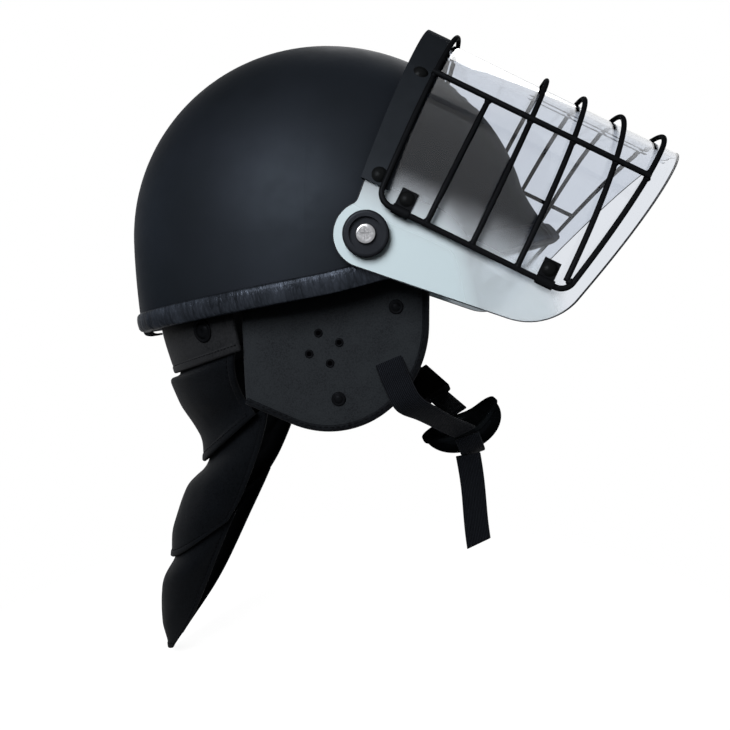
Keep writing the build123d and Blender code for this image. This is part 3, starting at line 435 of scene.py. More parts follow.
def painted_edge_shade_mask(tree):
    """One on the narrow cut faces round the sheet, which get a painted shade of dark grey there, and zero
    elsewhere.
    """
    facing = add_node(tree, "ShaderNodeTexCoord").outputs["Normal"]
    steep = maths(tree, "ABSOLUTE", distance_along(tree, facing, RAISED_UP))
    level = maths(tree, "ABSOLUTE", distance_along(tree, facing, (0, 1, 0)))
    ahead = distance_along(tree, place_of(tree), RAISED_AHEAD)
    on_wall = between(tree, ahead, FLAT_WALL_END - 0.001, FLAT_WALL_END, 1, 0)
    ear = maths(tree, "MULTIPLY", on_wall, between(tree, level, 0.5, 0.65, 1, 0))
    return maths(tree, "MAXIMUM", between(tree, steep, 0.35, 0.5, 0, 1), ear)


def clear_visor():
    finish, tree, shader = new_finish("clear_visor", 0.02, 0.08, IOR=1.33)
    spot = place_of(tree)
    wander = between(tree, cloudy(tree, spot, 14, 1), 0.3, 0.7, -0.0012, 0.0012)
    # Painted reflection: milky white and nearly opaque over the ear and the rear strip, and a fainter painted
    # reflection over the shell.
    row, reflection_front_mask, faint_front_mask = [
        between(tree, maths(tree, "ADD", distance_along(tree, spot, direction), wander), full, gone, 1.0, 0.0,
                interpolation_type="SMOOTHSTEP")
        for direction, (full, gone) in ((RAISED_AHEAD, REFLECTION_ROW), (REFLECTION_AHEAD, REFLECTION_FRONT),
                                        (REFLECTION_AHEAD, FAINT_REFLECTION_FRONT))]
    faint_reflection_mask = maths(tree, "MULTIPLY", faint_front_mask, FAINT_REFLECTION_SHARE)
    painted_reflection_mask = maths(tree, "MULTIPLY", row, maths(tree, "MAXIMUM", reflection_front_mask, faint_reflection_mask))
    cut = painted_edge_shade_mask(tree)
    tint = tinted(tree, painted_reflection_mask, CLEAR_TINT, PAINTED_REFLECTION_COLOUR)
    clear = between(tree, painted_reflection_mask, 0, 1, 1.0, 0.12)
    # The cut faces are painted dark grey and opaque: painted shade for the sheet's edge.
    feed(tree, shader, Base_Color=tinted(tree, cut, tint, PAINTED_EDGE_SHADE),
         Transmission_Weight=maths(tree, "SUBTRACT", clear, cut, use_clamp=True),
         Roughness=between(tree, painted_reflection_mask, 0, 1, 0.015, 0.30))
    return finish


# %% [markdown]
# Each solid names the slot of its material. The solids take their finishes by that name
# here, and the soft pieces that come later take the same ones.

# %% Make the finishes
binding_finish = pebbled_cloth("binding_leather", srgb(9, 10, 12), srgb(19, 21, 24), 700, 0.00012)
collar_finish = pebbled_cloth("collar_leather", srgb(21, 22, 24), srgb(31, 32, 34), 900, 0.00010)
FINISH_OF_SLOT = {
    "ear_panels": pebbled_cloth("ear_cloth", srgb(26, 28, 31), srgb(36, 39, 42), 1500, 0.00014),
    "nape_lames": pebbled_cloth("nape_cloth", srgb(4, 5, 7), srgb(12, 14, 17), 1500, 0.00014),
    "shell": satin_lacquer(), "trim": wrinkled_leather(), "foam": bead_foam(), "pads": knitted_cover(),
    "webbing": ribbed_webbing(), "hardware": plated_metal(), "lens": clear_visor()}
HARD_FINISHES = {
    "chin_cup": ("cup_plastic", srgb(14, 16, 18), 0.40, 1500, 0.00005),
    "buckle": ("buckle_plastic", srgb(18, 18, 20), 0.45, 1500, 0.00005),
    "snaps": ("snap_lacquer", srgb(14, 15, 17), 0.34, 900, 0.00003),
    "knobs": ("knob_plastic", srgb(33, 35, 39), 0.36, 1200, 0.00004),
    "strip": ("strip_lacquer", srgb(33, 36, 40), 0.45, 1300, 0.00006),
    "black_rivets": ("rivet_lacquer", srgb(19, 20, 21), 0.32, 700, 0.00003),
    "grille_wire": ("wire_powder_coat", srgb(18, 19, 21), 0.40, 1800, 0.00008)}
for slot, values in HARD_FINISHES.items():
    FINISH_OF_SLOT[slot] = moulded_plastic(*values)
slot_of_node = {item["node"]: item["material_slot"] for item in frame["record"]["subparts"]}
for name, solid in frame["nodes"].items():
    solid.data.materials.clear()
    solid.data.materials.append(FINISH_OF_SLOT[slot_of_node[name]])
print("finishes:", len(FINISH_OF_SLOT))

# %% [markdown]
# Soft goods are drawn in two ways. Anything long and thin, such as a strap, a binding or the edge trim, is a
# row of cross-sections bridged into a skin. Anything padded starts from a plain block, is remeshed, and lets
# Blender's cloth blow it up a little.

# %% Tools for pieces
MERGE = 1e-6
SIDES = ((-1, "right"), (1, "left"))


def new_piece(data, name, body, slot, node=None, finish=None):
    """Mesh data as a piece on a body. Its finish is its slot's own, if no other is given."""
    data.materials.append(finish or FINISH_OF_SLOT[slot])
    piece = put_in_scene(name, data)
    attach(piece, body)
    if node:
        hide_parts(node)
    return piece


def smooth_piece(mesh, name, body, slot, node=None, finish=None):
    """A bmesh as a smooth piece, which replaces a solid if a node is given."""
    bmesh.ops.recalc_face_normals(mesh, faces=mesh.faces)
    data = mesh_data(mesh, name)
    data.shade_smooth()
    return new_piece(data, name, body, slot, node, finish)


def turn_and_move(mesh, verts, direction, place):
    """Turns vertices' Z axis to a direction and moves them to a place."""
    spin = direction.to_track_quat("Z", "Y").to_matrix()
    bmesh.ops.rotate(mesh, verts=verts, cent=(0, 0, 0), matrix=spin)
    bmesh.ops.translate(mesh, verts=verts, vec=place)


print("piece tools ready")


# %% Tools for skins
def ring_of(mesh, places, filled=False):
    """A closed ring of vertices."""
    ring = bmesh.ops.create_circle(mesh, segments=len(places), radius=1.0, cap_ends=filled)["verts"]
    for vert, place in zip(ring, places):
        vert.co = place
    return ring


def ring_edges(verts):
    """Edges between the neighbours in a closed ring of vertices."""
    pairs = zip(verts, verts[1:] + verts[:1])
    return [next(e for e in a.link_edges if e.other_vert(a) is b) for a, b in pairs]


def skin_rings(rings, loop=False):
    """Bridges closed rings of points in order, and fills or joins the two ends."""
    mesh = bmesh.new()
    rows = [ring_of(mesh, ring) for ring in rings]
    edges = [ring_edges(row) for row in rows]
    pairs = list(zip(edges, edges[1:])) + ([(edges[-1], edges[0])] if loop else [])
    for first, second in pairs:
        bmesh.ops.bridge_loops(mesh, edges=first + second)
    if not loop:
        for end in (edges[0], edges[-1]):
            bmesh.ops.edgeloop_fill(mesh, edges=end)
    lay_uv(mesh, rows, loop)
    return mesh


def lay_uv(mesh, rows, loop):
    """Writes metres along and round the skin into its UV map."""
    layer = mesh.loops.layers.uv.new("UVMap")
    along, total = {}, 0.0
    for index, row in enumerate(rows):
        if index:
            total += (row[0].co - rows[index - 1][0].co).length
        for vert in row:
            along[vert] = total
    middle = rows[len(rows) // 2]
    round_of, girth = [], 0.0
    for place, vert in enumerate(middle):
        round_of.append(girth)
        girth += (middle[(place + 1) % len(middle)].co - vert.co).length
    across = {vert: round_of[place] for row in rows for place, vert in enumerate(row)}
    for face in mesh.faces:
        far = max(across[corner.vert] for corner in face.loops)
        long = max(along[corner.vert] for corner in face.loops)
        for corner in face.loops:
            v = across[corner.vert]
            u = along[corner.vert]
            if far - v > girth / 2:
                v += girth
            if loop and long - u > total / 2:
                u += total + (rows[0][0].co - rows[-1][0].co).length
            corner[layer].uv = (u, v)


print("skin tools ready")


# %% Tools for lines and straps
def smooth_line(points, steps):
    """Points of a smooth curve through the given ones."""
    padded = [points[0] * 2 - points[1]] + list(points) + [points[-1] * 2 - points[-2]]
    line = []
    for a, b, c, d in zip(padded, padded[1:], padded[2:], padded[3:]):
        for step in range(steps):
            t = step / steps
            line.append(0.5 * ((2 * b) + (c - a) * t + (2 * a - 5 * b + 4 * c - d) * t * t
                               + (3 * b - a - 3 * c + d) * t ** 3))
    line.append(points[-1].copy())
    return line


def heading(line, index):
    """Direction of a line at one of its points."""
    return (line[min(index + 1, len(line) - 1)] - line[max(index - 1, 0)]).normalized()


def mirrored(sign, vectors):
    """The vectors as drawn for the left side, or their mirror image for the right."""
    return [Vector((v.x, sign * v.y, v.z)) for v in vectors]


def flat_section(width, thickness, side_steps=8, edge_steps=3):
    """Rounded outline of flat webbing: x across its width, y through its thickness."""
    half = width / 2 - thickness / 2
    outline = []
    for sign in (1, -1):
        for step in range(side_steps):
            outline.append((sign * half * (2 * step / side_steps - 1), sign * thickness / 2))
        for step in range(edge_steps):
            angle = math.pi * (step + 0.5) / edge_steps
            x = half + math.sin(angle) * thickness / 2
            outline.append((sign * x, sign * math.cos(angle) * thickness / 2))
    return outline


def strap_rings(line, widths, width, thickness):
    """Rings of flat webbing along a line. Its width follows one direction, or one at each point."""
    if isinstance(widths, Vector):
        widths = [widths] * len(line)
    rings = []
    for index, point in enumerate(line):
        ahead = heading(line, index)
        across = (widths[index] - ahead * widths[index].dot(ahead)).normalized()
        out = ahead.cross(across)
        rings.append([point + across * x + out * y for x, y in flat_section(width, thickness)])
    return rings


print("strap tools ready")

# %% [markdown]
# The cut edge of the clear sheet shows as a thin dark line all round. That line is painted shade, drawn as
# fine dark rods along the solid's sharp edges.

# %% Painted shade line round the visor
EDGE_ROD, ROD_SIDES = 0.00032, 5
SHARP_ANGLE, SHORTEST = 1.0, 1e-5
edge_shade_finish, tree, shader = new_finish("visor_edge", 0.4, 0.1)
feed(tree, shader, Base_Color=srgb(30, 32, 36))
sheet = bmesh.new()
sheet.from_mesh(frame["nodes"]["visor_lens"].data)
bmesh.ops.remove_doubles(sheet, verts=sheet.verts, dist=MERGE)
sharp = [edge for edge in sheet.edges if edge.is_manifold and edge.calc_face_angle() > SHARP_ANGLE
         and edge.calc_length() > SHORTEST]
rods = bmesh.new()
for edge in sharp:
    start, end = edge.verts[0].co, edge.verts[1].co
    rod = bmesh.ops.create_cone(rods, segments=ROD_SIDES, radius1=EDGE_ROD, radius2=EDGE_ROD,
                                depth=(end - start).length, cap_ends=False)["verts"]
    turn_and_move(rods, rod, end - start, (start + end) / 2)
print("rods along the visor's edge:", len(sharp))
sheet.free()
new_piece(mesh_data(rods, "visor_edge_shade_rods"), "visor_edge_shade_rods", "visor", "lens", finish=edge_shade_finish)

# %% [markdown]
# The grille is welded, so each place where two wires meet gets a small bead of metal. The
# places are found by walking along every wire and asking whether another wire is near.

# %% Weld beads
WELD_REACH, WELD_RADIUS, WELD_APART = 0.0006, 0.0021, 0.007
WELD_STEP, WELD_ROUGH, WELD_GRAIN = 0.0012, 0.25, 600


def points_along(data, spacing):
    """Points on a mesh's edges."""
    points = []
    for edge in data.edges:
        a, b = (data.vertices[index].co for index in edge.vertices)
        count = max(1, round((b - a).length / spacing))
        points += [a.lerp(b, (place + 0.5) / count) for place in range(count)]
    return points


wires = [name for name, slot in slot_of_node.items() if slot == "grille_wire" and "clip" not in name]
walks = {name: points_along(frame["nodes"][name].data, WELD_STEP) for name in wires}
trees = {}
for name in wires:
    data = frame["nodes"][name].data
    corners = [v.co for v in data.vertices]
    trees[name] = BVHTree.FromPolygons(corners, [list(face.vertices) for face in data.polygons])
welds = []
for index, name in enumerate(wires):
    for other in wires[index + 1:]:
        groups = []
        for point in walks[name]:
            if trees[other].find_nearest(point, WELD_REACH)[0] is None:
                continue
            for group in groups:
                if (group[0] - point).length < WELD_APART:
                    group.append(point)
                    break
            else:
                groups.append([point])
        welds += [sum(group, Vector()) / len(group) for group in groups]
beads = bmesh.new()
for weld in welds:
    for vert in bmesh.ops.create_icosphere(beads, subdivisions=2, radius=WELD_RADIUS)["verts"]:
        vert.co = weld + vert.co * (1 + WELD_ROUGH * noise.noise((weld + vert.co) * WELD_GRAIN))
smooth_piece(beads, "weld_beads", "visor", "grille_wire")
print("wires:", len(wires), "weld beads:", len(welds))

# %% [markdown]
# The edge trim is one leather welt, folded over the shell's cut edge. The shell is an egg
# of elliptical quarters with a flared brow, and its rim is two slopes that meet near the
# ear. The trim's path is worked out from those sizes, so it sits exactly on the shell. Its
# outer side is slimmer under the visor, which swings down close beside it.

# %% Shell surface, repeated from the solids' sizes
SHELL_FRONT, SHELL_REAR, SHELL_HALF = 0.1385, 0.1345, 0.118
SHELL_CROWN, SHELL_SKIRT = 0.1305, 0.230
SHELL_BACK, SHELL_UP = 0.0342, 0.003
FLARE, FLARE_START, FLARE_TIP, FLARE_POWER = 0.0169, 0.048, 0.009, 2.2
KNEE_BACK, KNEE_DOWN = 0.0206, 0.0313
REAR_PITCH, FRONT_PITCH = math.radians(10.7), math.radians(14.5)


def rim_height(x):
    """Height of the finished edge."""
    pitch = REAR_PITCH if x < -KNEE_BACK else FRONT_PITCH
    return -KNEE_DOWN + (x + KNEE_BACK) * math.tan(pitch)


def shell_place(turn, z, grow=0.0):
    """Point of the shell's outer face at a turn from the front and a height."""
    semi = SHELL_CROWN if z > SHELL_UP else SHELL_SKIRT
    share = math.sqrt(max(0.0, 1 - ((z - SHELL_UP) / semi) ** 2))
    flare = FLARE * (max(0.0, FLARE_START - z) / (FLARE_START - FLARE_TIP)) ** FLARE_POWER
    ahead = math.cos(turn)
    reach = SHELL_FRONT * share + flare if ahead > 0 else SHELL_REAR * share
    return Vector((-SHELL_BACK + (reach + grow) * ahead, (SHELL_HALF * share + grow) * math.sin(turn), z))


def rim_place(turn, lift=0.0):
    """Point of the shell's face on the rim line."""
    z = -0.03
    for _ in range(12):
        z = rim_height(shell_place(turn, z).x) + lift
    return shell_place(turn, z)


# %% Edge trim
TRIM_STATIONS, TRIM_HEIGHT, TURN_STEP = 420, 0.011, 0.004
TRIM_SLIM, TRIM_SLIM_FROM, TRIM_SLIM_LENGTH = 0.42, -0.055, 0.025
CREASE, SWELL, SINK, CREST = 0.00045, 0.00035, 0.0002, 0.00005
FACE_POINTS, OUTER_POINTS = 15, 8
TRIM_SECTION = (
    (0.0002, 0.0112), (0.0016, 0.0116), (0.0026, 0.0106), (0.0031, 0.0086), (0.0033, 0.0062),
    (0.0032, 0.0038), (0.0028, 0.0016), (0.0017, 0.0001), (-0.0002, -0.0006), (-0.0024, -0.0007),
    (-0.0044, -0.0003), (-0.0058, 0.0010), (-0.0066, 0.0032), (-0.0068, 0.0060), (-0.0065, 0.0088),
    (-0.0056, 0.0108), (-0.0044, 0.0110), (-0.0041, 0.0060), (-0.0038, 0.0022), (-0.0020, 0.0018),
    (-0.0002, 0.0022), (0.0001, 0.0060))


def trim_rings():
    """The welt's section at each station round the rim, puckered by noise."""
    rings = []
    for index in range(TRIM_STATIONS):
        turn = 2 * math.pi * index / TRIM_STATIONS
        low = rim_place(turn)
        ahead = (rim_place(turn + TURN_STEP) - rim_place(turn - TURN_STEP)).normalized()
        up = rim_place(turn, TRIM_HEIGHT) - low
        up = (up - ahead * up.dot(ahead)).normalized()
        out = ahead.cross(up).normalized()
        if out.dot(low + Vector((SHELL_BACK, 0, 0))) < 0:
            out = -out
        slim = TRIM_SLIM * min(1.0, max(0.0, (low.x - TRIM_SLIM_FROM) / TRIM_SLIM_LENGTH))
        ring = []
        for place, (side, lift) in enumerate(TRIM_SECTION):
            point = low + out * (side * (1 - slim) if side > 0 else side) + up * lift
            if place < FACE_POINTS:
                crease = noise.noise(Vector((index * 0.55, place * 0.22, 3.0)))
                swell = noise.noise(Vector((index * 0.13, place * 0.15, 8.0)))
                dent = min(CREST, CREASE * crease + SWELL * swell - SINK)
                point += out * dent * (1 if place < OUTER_POINTS else -1)
            ring.append(point)
        rings.append(ring)
    return rings


trim = smooth_piece(skin_rings(trim_rings(), loop=True), "trim_welt", "helmet", "trim", "edge_trim")
print("trim stations:", TRIM_STATIONS, "faces:", len(trim.data.polygons))

# %% [markdown]
# Padded panels are made from their own solids. A solid is remeshed into even cells, and
# the cloth solver presses it outwards with a little air. A cap on how far a point may
# move keeps the panel within the room its solid has.

# %% Padding by cloth pressure
CLOTH_FRAMES = 14


def evaluated_mesh(piece):
    """A copy of the piece's mesh with its modifiers applied."""
    bpy.context.view_layer.update()
    graph = bpy.context.evaluated_depsgraph_get()
    return bpy.data.meshes.new_from_object(piece.evaluated_get(graph))


def blow_up(piece, pressure, most):
    """Lets cloth press a piece outwards, by no more than a given distance."""
    rest = [vert.co.copy() for vert in piece.data.vertices]
    cloth = piece.modifiers.new("air", "CLOTH")
    cloth.settings.use_pressure = True
    cloth.settings.uniform_pressure_force = pressure
    cloth.settings.effector_weights.gravity = 0
    cloth.settings.quality = 5
    cloth.settings.mass = 0.2
    cloth.point_cache.frame_start = 1
    cloth.point_cache.frame_end = CLOTH_FRAMES
    for number in range(1, CLOTH_FRAMES + 1):
        bpy.context.scene.frame_set(number)
    puffed = evaluated_mesh(piece)
    piece.modifiers.clear()
    bpy.context.scene.frame_set(1)
    for vert, start, moved in zip(piece.data.vertices, rest, puffed.vertices):
        step = moved.co - start
        if step.length > most:
            step *= most / step.length
        vert.co = start + step


def padded_copy(data, node, slot, cell, pressure, most):
    """Puffed piece made from a mesh, which replaces a solid."""
    mesh = bmesh.new()
    mesh.from_mesh(data)
    bmesh.ops.remove_doubles(mesh, verts=mesh.verts, dist=MERGE)
    mesh.normal_update()
    mesh.to_mesh(data)
    mesh.free()
    piece = put_in_scene("soft_" + node, data)
    remesh = piece.modifiers.new("cells", "REMESH")
    remesh.mode = "VOXEL"
    remesh.voxel_size = cell
    piece.data = evaluated_mesh(piece)
    piece.modifiers.clear()
    blow_up(piece, pressure, most)
    piece.data.materials.clear()
    piece.data.materials.append(FINISH_OF_SLOT[slot])
    smooth = bmesh.new()
    smooth.from_mesh(piece.data)
    for _ in range(2):
        bmesh.ops.smooth_vert(smooth, verts=smooth.verts, factor=0.5, use_axis_x=True, use_axis_y=True,
                              use_axis_z=True)
    smooth.to_mesh(piece.data)
    smooth.free()
    piece.data.shade_smooth()
    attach(piece, "helmet")
    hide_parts(node)
    print(piece.name, "faces:", len(piece.data.polygons))


# %% [markdown]
# The comfort pads inside the shell keep their solids' outlines and only get rounder.

# %% Comfort pads
for pad in ("crown_pad", "front_pad", "rear_pad", "right_side_pad", "left_side_pad"):
    padded_copy(frame["nodes"][pad].data.copy(), pad, "pads", cell=0.004, pressure=3.0, most=0.004)

# %% [markdown]
# Each ear panel is a flat padded piece with a rounded lower edge. It starts as a flat
# block through its outline, which cloth pressure then makes rounder.

# %% Ear panel outline
EAR_OUT, EAR_THICK = 0.0936, 0.007
EAR_CORNERS = (
    (0.035, -0.012, 0.0), (0.035, -0.0790, 0.066), (-0.0135, -0.1232, 0.056),
    (-0.0745, -0.0975, 0.0))
EAR_TOP_REAR = (-0.0770, -0.020)
EAR_MIDDLE = Vector((-0.02, 0, -0.05))
BIND_WIDTH, BIND_PROUD, BIND_PUCKER = 0.0045, 0.001, 0.00018


def rounded_line(corners, spacing):
    """Points along a line whose corners, each x, z and radius, are rounded by arcs."""
    path = []
    for index, (x, z, radius) in enumerate(corners):
        here = Vector((x, 0, z))
        if radius == 0:
            path.append(here)
            continue
        back = (Vector((corners[index - 1][0], 0, corners[index - 1][1])) - here).normalized()
        on = (Vector((corners[index + 1][0], 0, corners[index + 1][1])) - here).normalized()
        half = back.angle(on) / 2
        centre = here + (back + on).normalized() * (radius / math.sin(half))
        start = here + back * (radius / math.tan(half)) - centre
        sweep = math.pi - 2 * half
        axis = start.cross(here - centre)
        steps = max(3, int(radius * sweep / spacing))
        for step in range(steps + 1):
            path.append(centre + Matrix.Rotation(sweep * step / steps, 3, axis) @ start)
    even = [path[0]]
    for a, b in zip(path, path[1:]):
        parts = max(1, round((b - a).length / spacing))
        even += [a.lerp(b, part / parts) for part in range(1, parts + 1)]
    return even


ear_line = rounded_line(EAR_CORNERS, 0.0025)
print("points along the ear panel's edge:", len(ear_line))


# %% Ear panels
def panel_block(sign):
    """Flat block of the panel's outline, as deep as the panel."""
    mesh = bmesh.new()
    outline = [Vector((p.x, sign * (EAR_OUT - EAR_THICK), p.z)) for p in ear_line]
    outline.append(Vector((EAR_TOP_REAR[0], sign * (EAR_OUT - EAR_THICK), EAR_TOP_REAR[1])))
    ring_of(mesh, outline, filled=True)
    grown = bmesh.ops.extrude_face_region(mesh, geom=list(mesh.faces))["geom"]
    moved = [item for item in grown if isinstance(item, bmesh.types.BMVert)]
    bmesh.ops.translate(mesh, verts=moved, vec=(0, sign * EAR_THICK, 0))
    bmesh.ops.recalc_face_normals(mesh, faces=mesh.faces)
    return mesh_data(mesh, "panel_block")


for sign, side in SIDES:
    padded_copy(panel_block(sign), side + "_ear_panel", "ear_panels", cell=0.0022, pressure=1.0,
                most=0.0004)


def inner_sides(line):
    """Each point of a line in the side view, with the direction to the panel's inside."""
    frames = []
    for index, point in enumerate(line):
        ahead = heading(line, index)
        inner = ahead.cross(Vector((0, 1, 0))).normalized()
        if inner.dot(EAR_MIDDLE - point) < 0:
            inner = -inner
        frames.append((point, inner))
    return frames


# %% [markdown]
# The panel is edged with a folded strip of leather. In section that is a rounded U round
# the free edge, and a row of short stitches runs along it. The rear edge lies under the
# collar and has no binding.


# %% Ear bindings and stitches
def binding_rings(sign):
    """The folded strip's section at each point of the panel's edge."""
    half = EAR_THICK / 2 + BIND_PROUD
    middle = sign * (EAR_OUT - EAR_THICK / 2)
    section = [(BIND_WIDTH, half - 0.0012), (BIND_WIDTH - 0.0004, half - 0.0002), (0.0032, half),
               (0.0018, half - 0.0001), (0.0007, half - 0.0009), (0.0001, half - 0.0024), (0.0, 0.0)]
    section = section + [(x, -y) for x, y in reversed(section[:-1])]
    rings = []
    for index, (point, inner) in enumerate(inner_sides(ear_line)):
        pucker = BIND_PUCKER * noise.noise(Vector((index * 0.7, sign * 5.0, 0.0)))
        depths = [y + math.copysign(pucker, y) if y else 0 for x, y in section]
        rings.append([point + inner * x + Vector((0, middle + sign * depth, 0))
                      for (x, y), depth in zip(section, depths)])
    return rings


def stitch_row(name, stitches, body, slot):
    """Short capsules of thread, each from one point to the next, half sunk in the cloth."""
    mesh = bmesh.new()
    for start, end in stitches:
        along = end - start
        made = bmesh.ops.create_uvsphere(mesh, u_segments=6, v_segments=5, radius=1.0)["verts"]
        bmesh.ops.scale(mesh, verts=made, vec=(THREAD, THREAD, along.length / 2 + THREAD * 0.4))
        turn_and_move(mesh, made, along, (start + end) / 2)
    smooth_piece(mesh, name, body, slot, finish=thread_finish)


def stitches_on(line, pitch):
    """Both ends of the stitches along a line."""
    pairs, due, walked = [], pitch, 0.0
    for a, b in zip(line, line[1:]):
        step = (b - a).length
        while walked + step > due:
            at = a.lerp(b, (due - walked) / step)
            pairs.append((at, at + (b - a).normalized() * pitch * STITCH_SHARE))
            due += pitch
        walked += step
    return pairs


thread_finish = moulded_plastic("black_thread", srgb(16, 17, 19), 0.6, 2500, 0.00005)
STITCH_PITCH, STITCH_SHARE, THREAD = 0.0036, 0.62, 0.00032
for sign, side in SIDES:
    smooth_piece(skin_rings(binding_rings(sign)), side + "_ear_welt", "helmet", "trim",
                 side + "_ear_binding", binding_finish)
    lift = Vector((0, sign * (EAR_OUT + BIND_PROUD + 0.00005), 0))
    seam = [point + inner * (BIND_WIDTH - 0.0013) + lift for point, inner in inner_sides(ear_line)]
    stitch_row(side + "_ear_stitches", stitches_on(seam, STITCH_PITCH), "helmet", "trim")
print("ear bindings and stitches done")

# %% [markdown]
# The chin strap is flat webbing with ribs along its length. It leaves a slit in the ear
# panel, stands over the binding, and turns a little on its way to the cup.

# %% Chin strap
WEB_WIDTH, WEB_THICK = 0.017, 0.0018
WEB_LEAN, WEB_LEAN_FROM = 0.30, 0.48
SLIT = Vector((0.0115, 0.0936, -0.0715))
SLIT_PITCH = math.radians(23.5)
CUP_PITCH = math.radians(22)


def turned_width(pitch, lean=0.0):
    """Direction of a strap's width in the side view, leaning out sideways a little."""
    return Vector((math.cos(pitch), lean, math.sin(pitch)))


def webbing(name, node, body, line, widths, width=WEB_WIDTH, thickness=WEB_THICK):
    """A flat strap along a line, which replaces its solid."""
    mesh = skin_rings(strap_rings(line, widths, width, thickness))
    smooth_piece(mesh, name, body, "webbing", node)


def side_strap(sign):
    """Line and width directions of a chin strap, from the slit to the cup."""
    stops = [SLIT + Vector((-0.0006, -0.0008, 0.0014)), SLIT + Vector((0.0012, 0.0014, -0.0026)),
             SLIT + Vector((0.0045, 0.0029, -0.0105)), Vector((0.023, 0.0968, -0.095)),
             Vector((0.035, 0.083, -0.1040)), Vector((0.048, 0.060, -0.1142)),
             Vector((0.0605, 0.0378, -0.1232))]
    line = smooth_line(stops, 10)
    widths = []
    for index in range(len(line)):
        share = index / (len(line) - 1)
        pitch = SLIT_PITCH + (CUP_PITCH - SLIT_PITCH) * share
        past = max(0.0, share - WEB_LEAN_FROM) / (1 - WEB_LEAN_FROM)
        widths.append(turned_width(pitch, WEB_LEAN * math.sin(math.pi * past) ** 2))
    return mirrored(sign, line), mirrored(sign, widths)


for sign, side in SIDES:
    webbing(side + "_web", side + "_chin_strap", "chin_strap", *side_strap(sign))
print("chin straps done")

# %% [markdown]
# The strap goes on behind the slit, where its end is folded up and sewn to the panel.
# Under the cup another length runs from side to side, close to the plastic.

# %% Hidden strap ends
SLIT_UP = Vector((-math.sin(SLIT_PITCH), 0, math.cos(SLIT_PITCH)))
inside = SLIT - Vector((0, EAR_THICK + 0.0014, 0))
stops = [SLIT - Vector((0, 0.0022, 0)), SLIT - Vector((0, 0.0052, 0)), inside + SLIT_UP * 0.003,
         inside + SLIT_UP * 0.010, inside + SLIT_UP * 0.019]
for sign, side in SIDES:
    webbing(side + "_web_end", side + "_strap_anchor", "helmet", mirrored(sign, smooth_line(stops, 5)),
            turned_width(SLIT_PITCH), WEB_WIDTH - 0.0006, 0.0015)
print("hidden ends done")

# %% Strap under the cup
CUP_MIDDLE = Vector((0.061, 0, -0.1235))
CUP_HALF, CUP_DEPTH, CUP_RIM = 0.034, 0.020, 0.0016
SLING_START, SLING_SWEEP, SLING_STEPS = 8, 164, 40
cup_up = Vector((-math.sin(CUP_PITCH), 0, math.cos(CUP_PITCH)))
lift = CUP_RIM + WEB_THICK / 2
line = []
for step in range(SLING_STEPS + 1):
    angle = math.radians(SLING_START + SLING_SWEEP * step / SLING_STEPS)
    line.append(CUP_MIDDLE + Vector((0, (CUP_HALF + lift) * math.cos(angle), 0))
                - cup_up * (CUP_DEPTH + lift) * math.sin(angle))
webbing("cup_sling", "cup_strap", "chin_strap", line, turned_width(CUP_PITCH))
print("strap under the cup done")

# %% [markdown]
# The loose end is stiff webbing that has kept a slight wave. Its cut is slanted, as in the
# photograph: the lower sections are sheared, more and more towards the end.

# %% Loose strap end
TAIL_TOP = Vector((0.064, -0.026, -0.142))
TAIL_LEAN = math.radians(8)
TAIL_LENGTH, TAIL_TUCK, TAIL_STEPS = 0.062, 0.0008, 32
TAIL_CUT, TAIL_CUT_FROM = 0.35, 0.6
tail_down = Vector((math.sin(TAIL_LEAN), 0, -math.cos(TAIL_LEAN)))
line, widths = [], []
for step in range(TAIL_STEPS + 1):
    share = step / TAIL_STEPS
    wave = Vector((0.0006 * math.sin(5.2 * share), 0.0016 * math.sin(4.4 * share) * share, 0))
    line.append(TAIL_TOP + tail_down * (TAIL_LENGTH * share - TAIL_TUCK * (1 - share)) + wave)
    widths.append(turned_width(TAIL_LEAN, 0.16 * math.sin(3.4 * share)))
rings = strap_rings(line, widths, WEB_WIDTH, WEB_THICK)
for index, (ring, middle, wide) in enumerate(zip(rings, line, widths)):
    cut = max(0.0, index / TAIL_STEPS - TAIL_CUT_FROM) / (1 - TAIL_CUT_FROM) * TAIL_CUT
    rings[index] = [point - tail_down * cut * (point - middle).dot(wide) for point in ring]
smooth_piece(skin_rings(rings), "loose_end", "strap_tail", "webbing", "strap_tail")
print("loose end done")

# %% [markdown]
# The retainer strap lies on the shell's rear middle, outside the trim's welt, and is folded
# under the rim. It stands off the shell by a few millimetres, so it passes over the trim.

# %% Retainer strap behind the rim
RETAINER_WIDTH, RETAINER_THICK, RETAINER_OFF = 0.016, 0.0016, 0.0043
REAR_RIM_X, FOLD_DOWN = -0.1687, 0.0021
low = rim_height(REAR_RIM_X) - FOLD_DOWN
stops = [shell_place(math.pi, z, grow) for z, grow in (
    (-0.014, RETAINER_OFF), (-0.026, RETAINER_OFF), (-0.040, RETAINER_OFF + 0.0002),
    (-0.052, RETAINER_OFF + 0.0004), (low + 0.0016, RETAINER_OFF), (low, 0.0010), (low + 0.0004, -0.0030))]
webbing("retainer_web", "rear_retainer_strap", "helmet", smooth_line(stops, 6), Vector((0, 1, 0)),
        RETAINER_WIDTH, RETAINER_THICK)
print("retainer strap done")

# %% [markdown]
# The nape guard is modelled again from its slices. A slice is an arc through the rear
# middle and both side ends, written as shares of the guard's own sizes. Between slices
# the shares follow a smooth curve. Each lame is thin along its bound edge, has a stitched
# groove beside it, and is full in the middle.

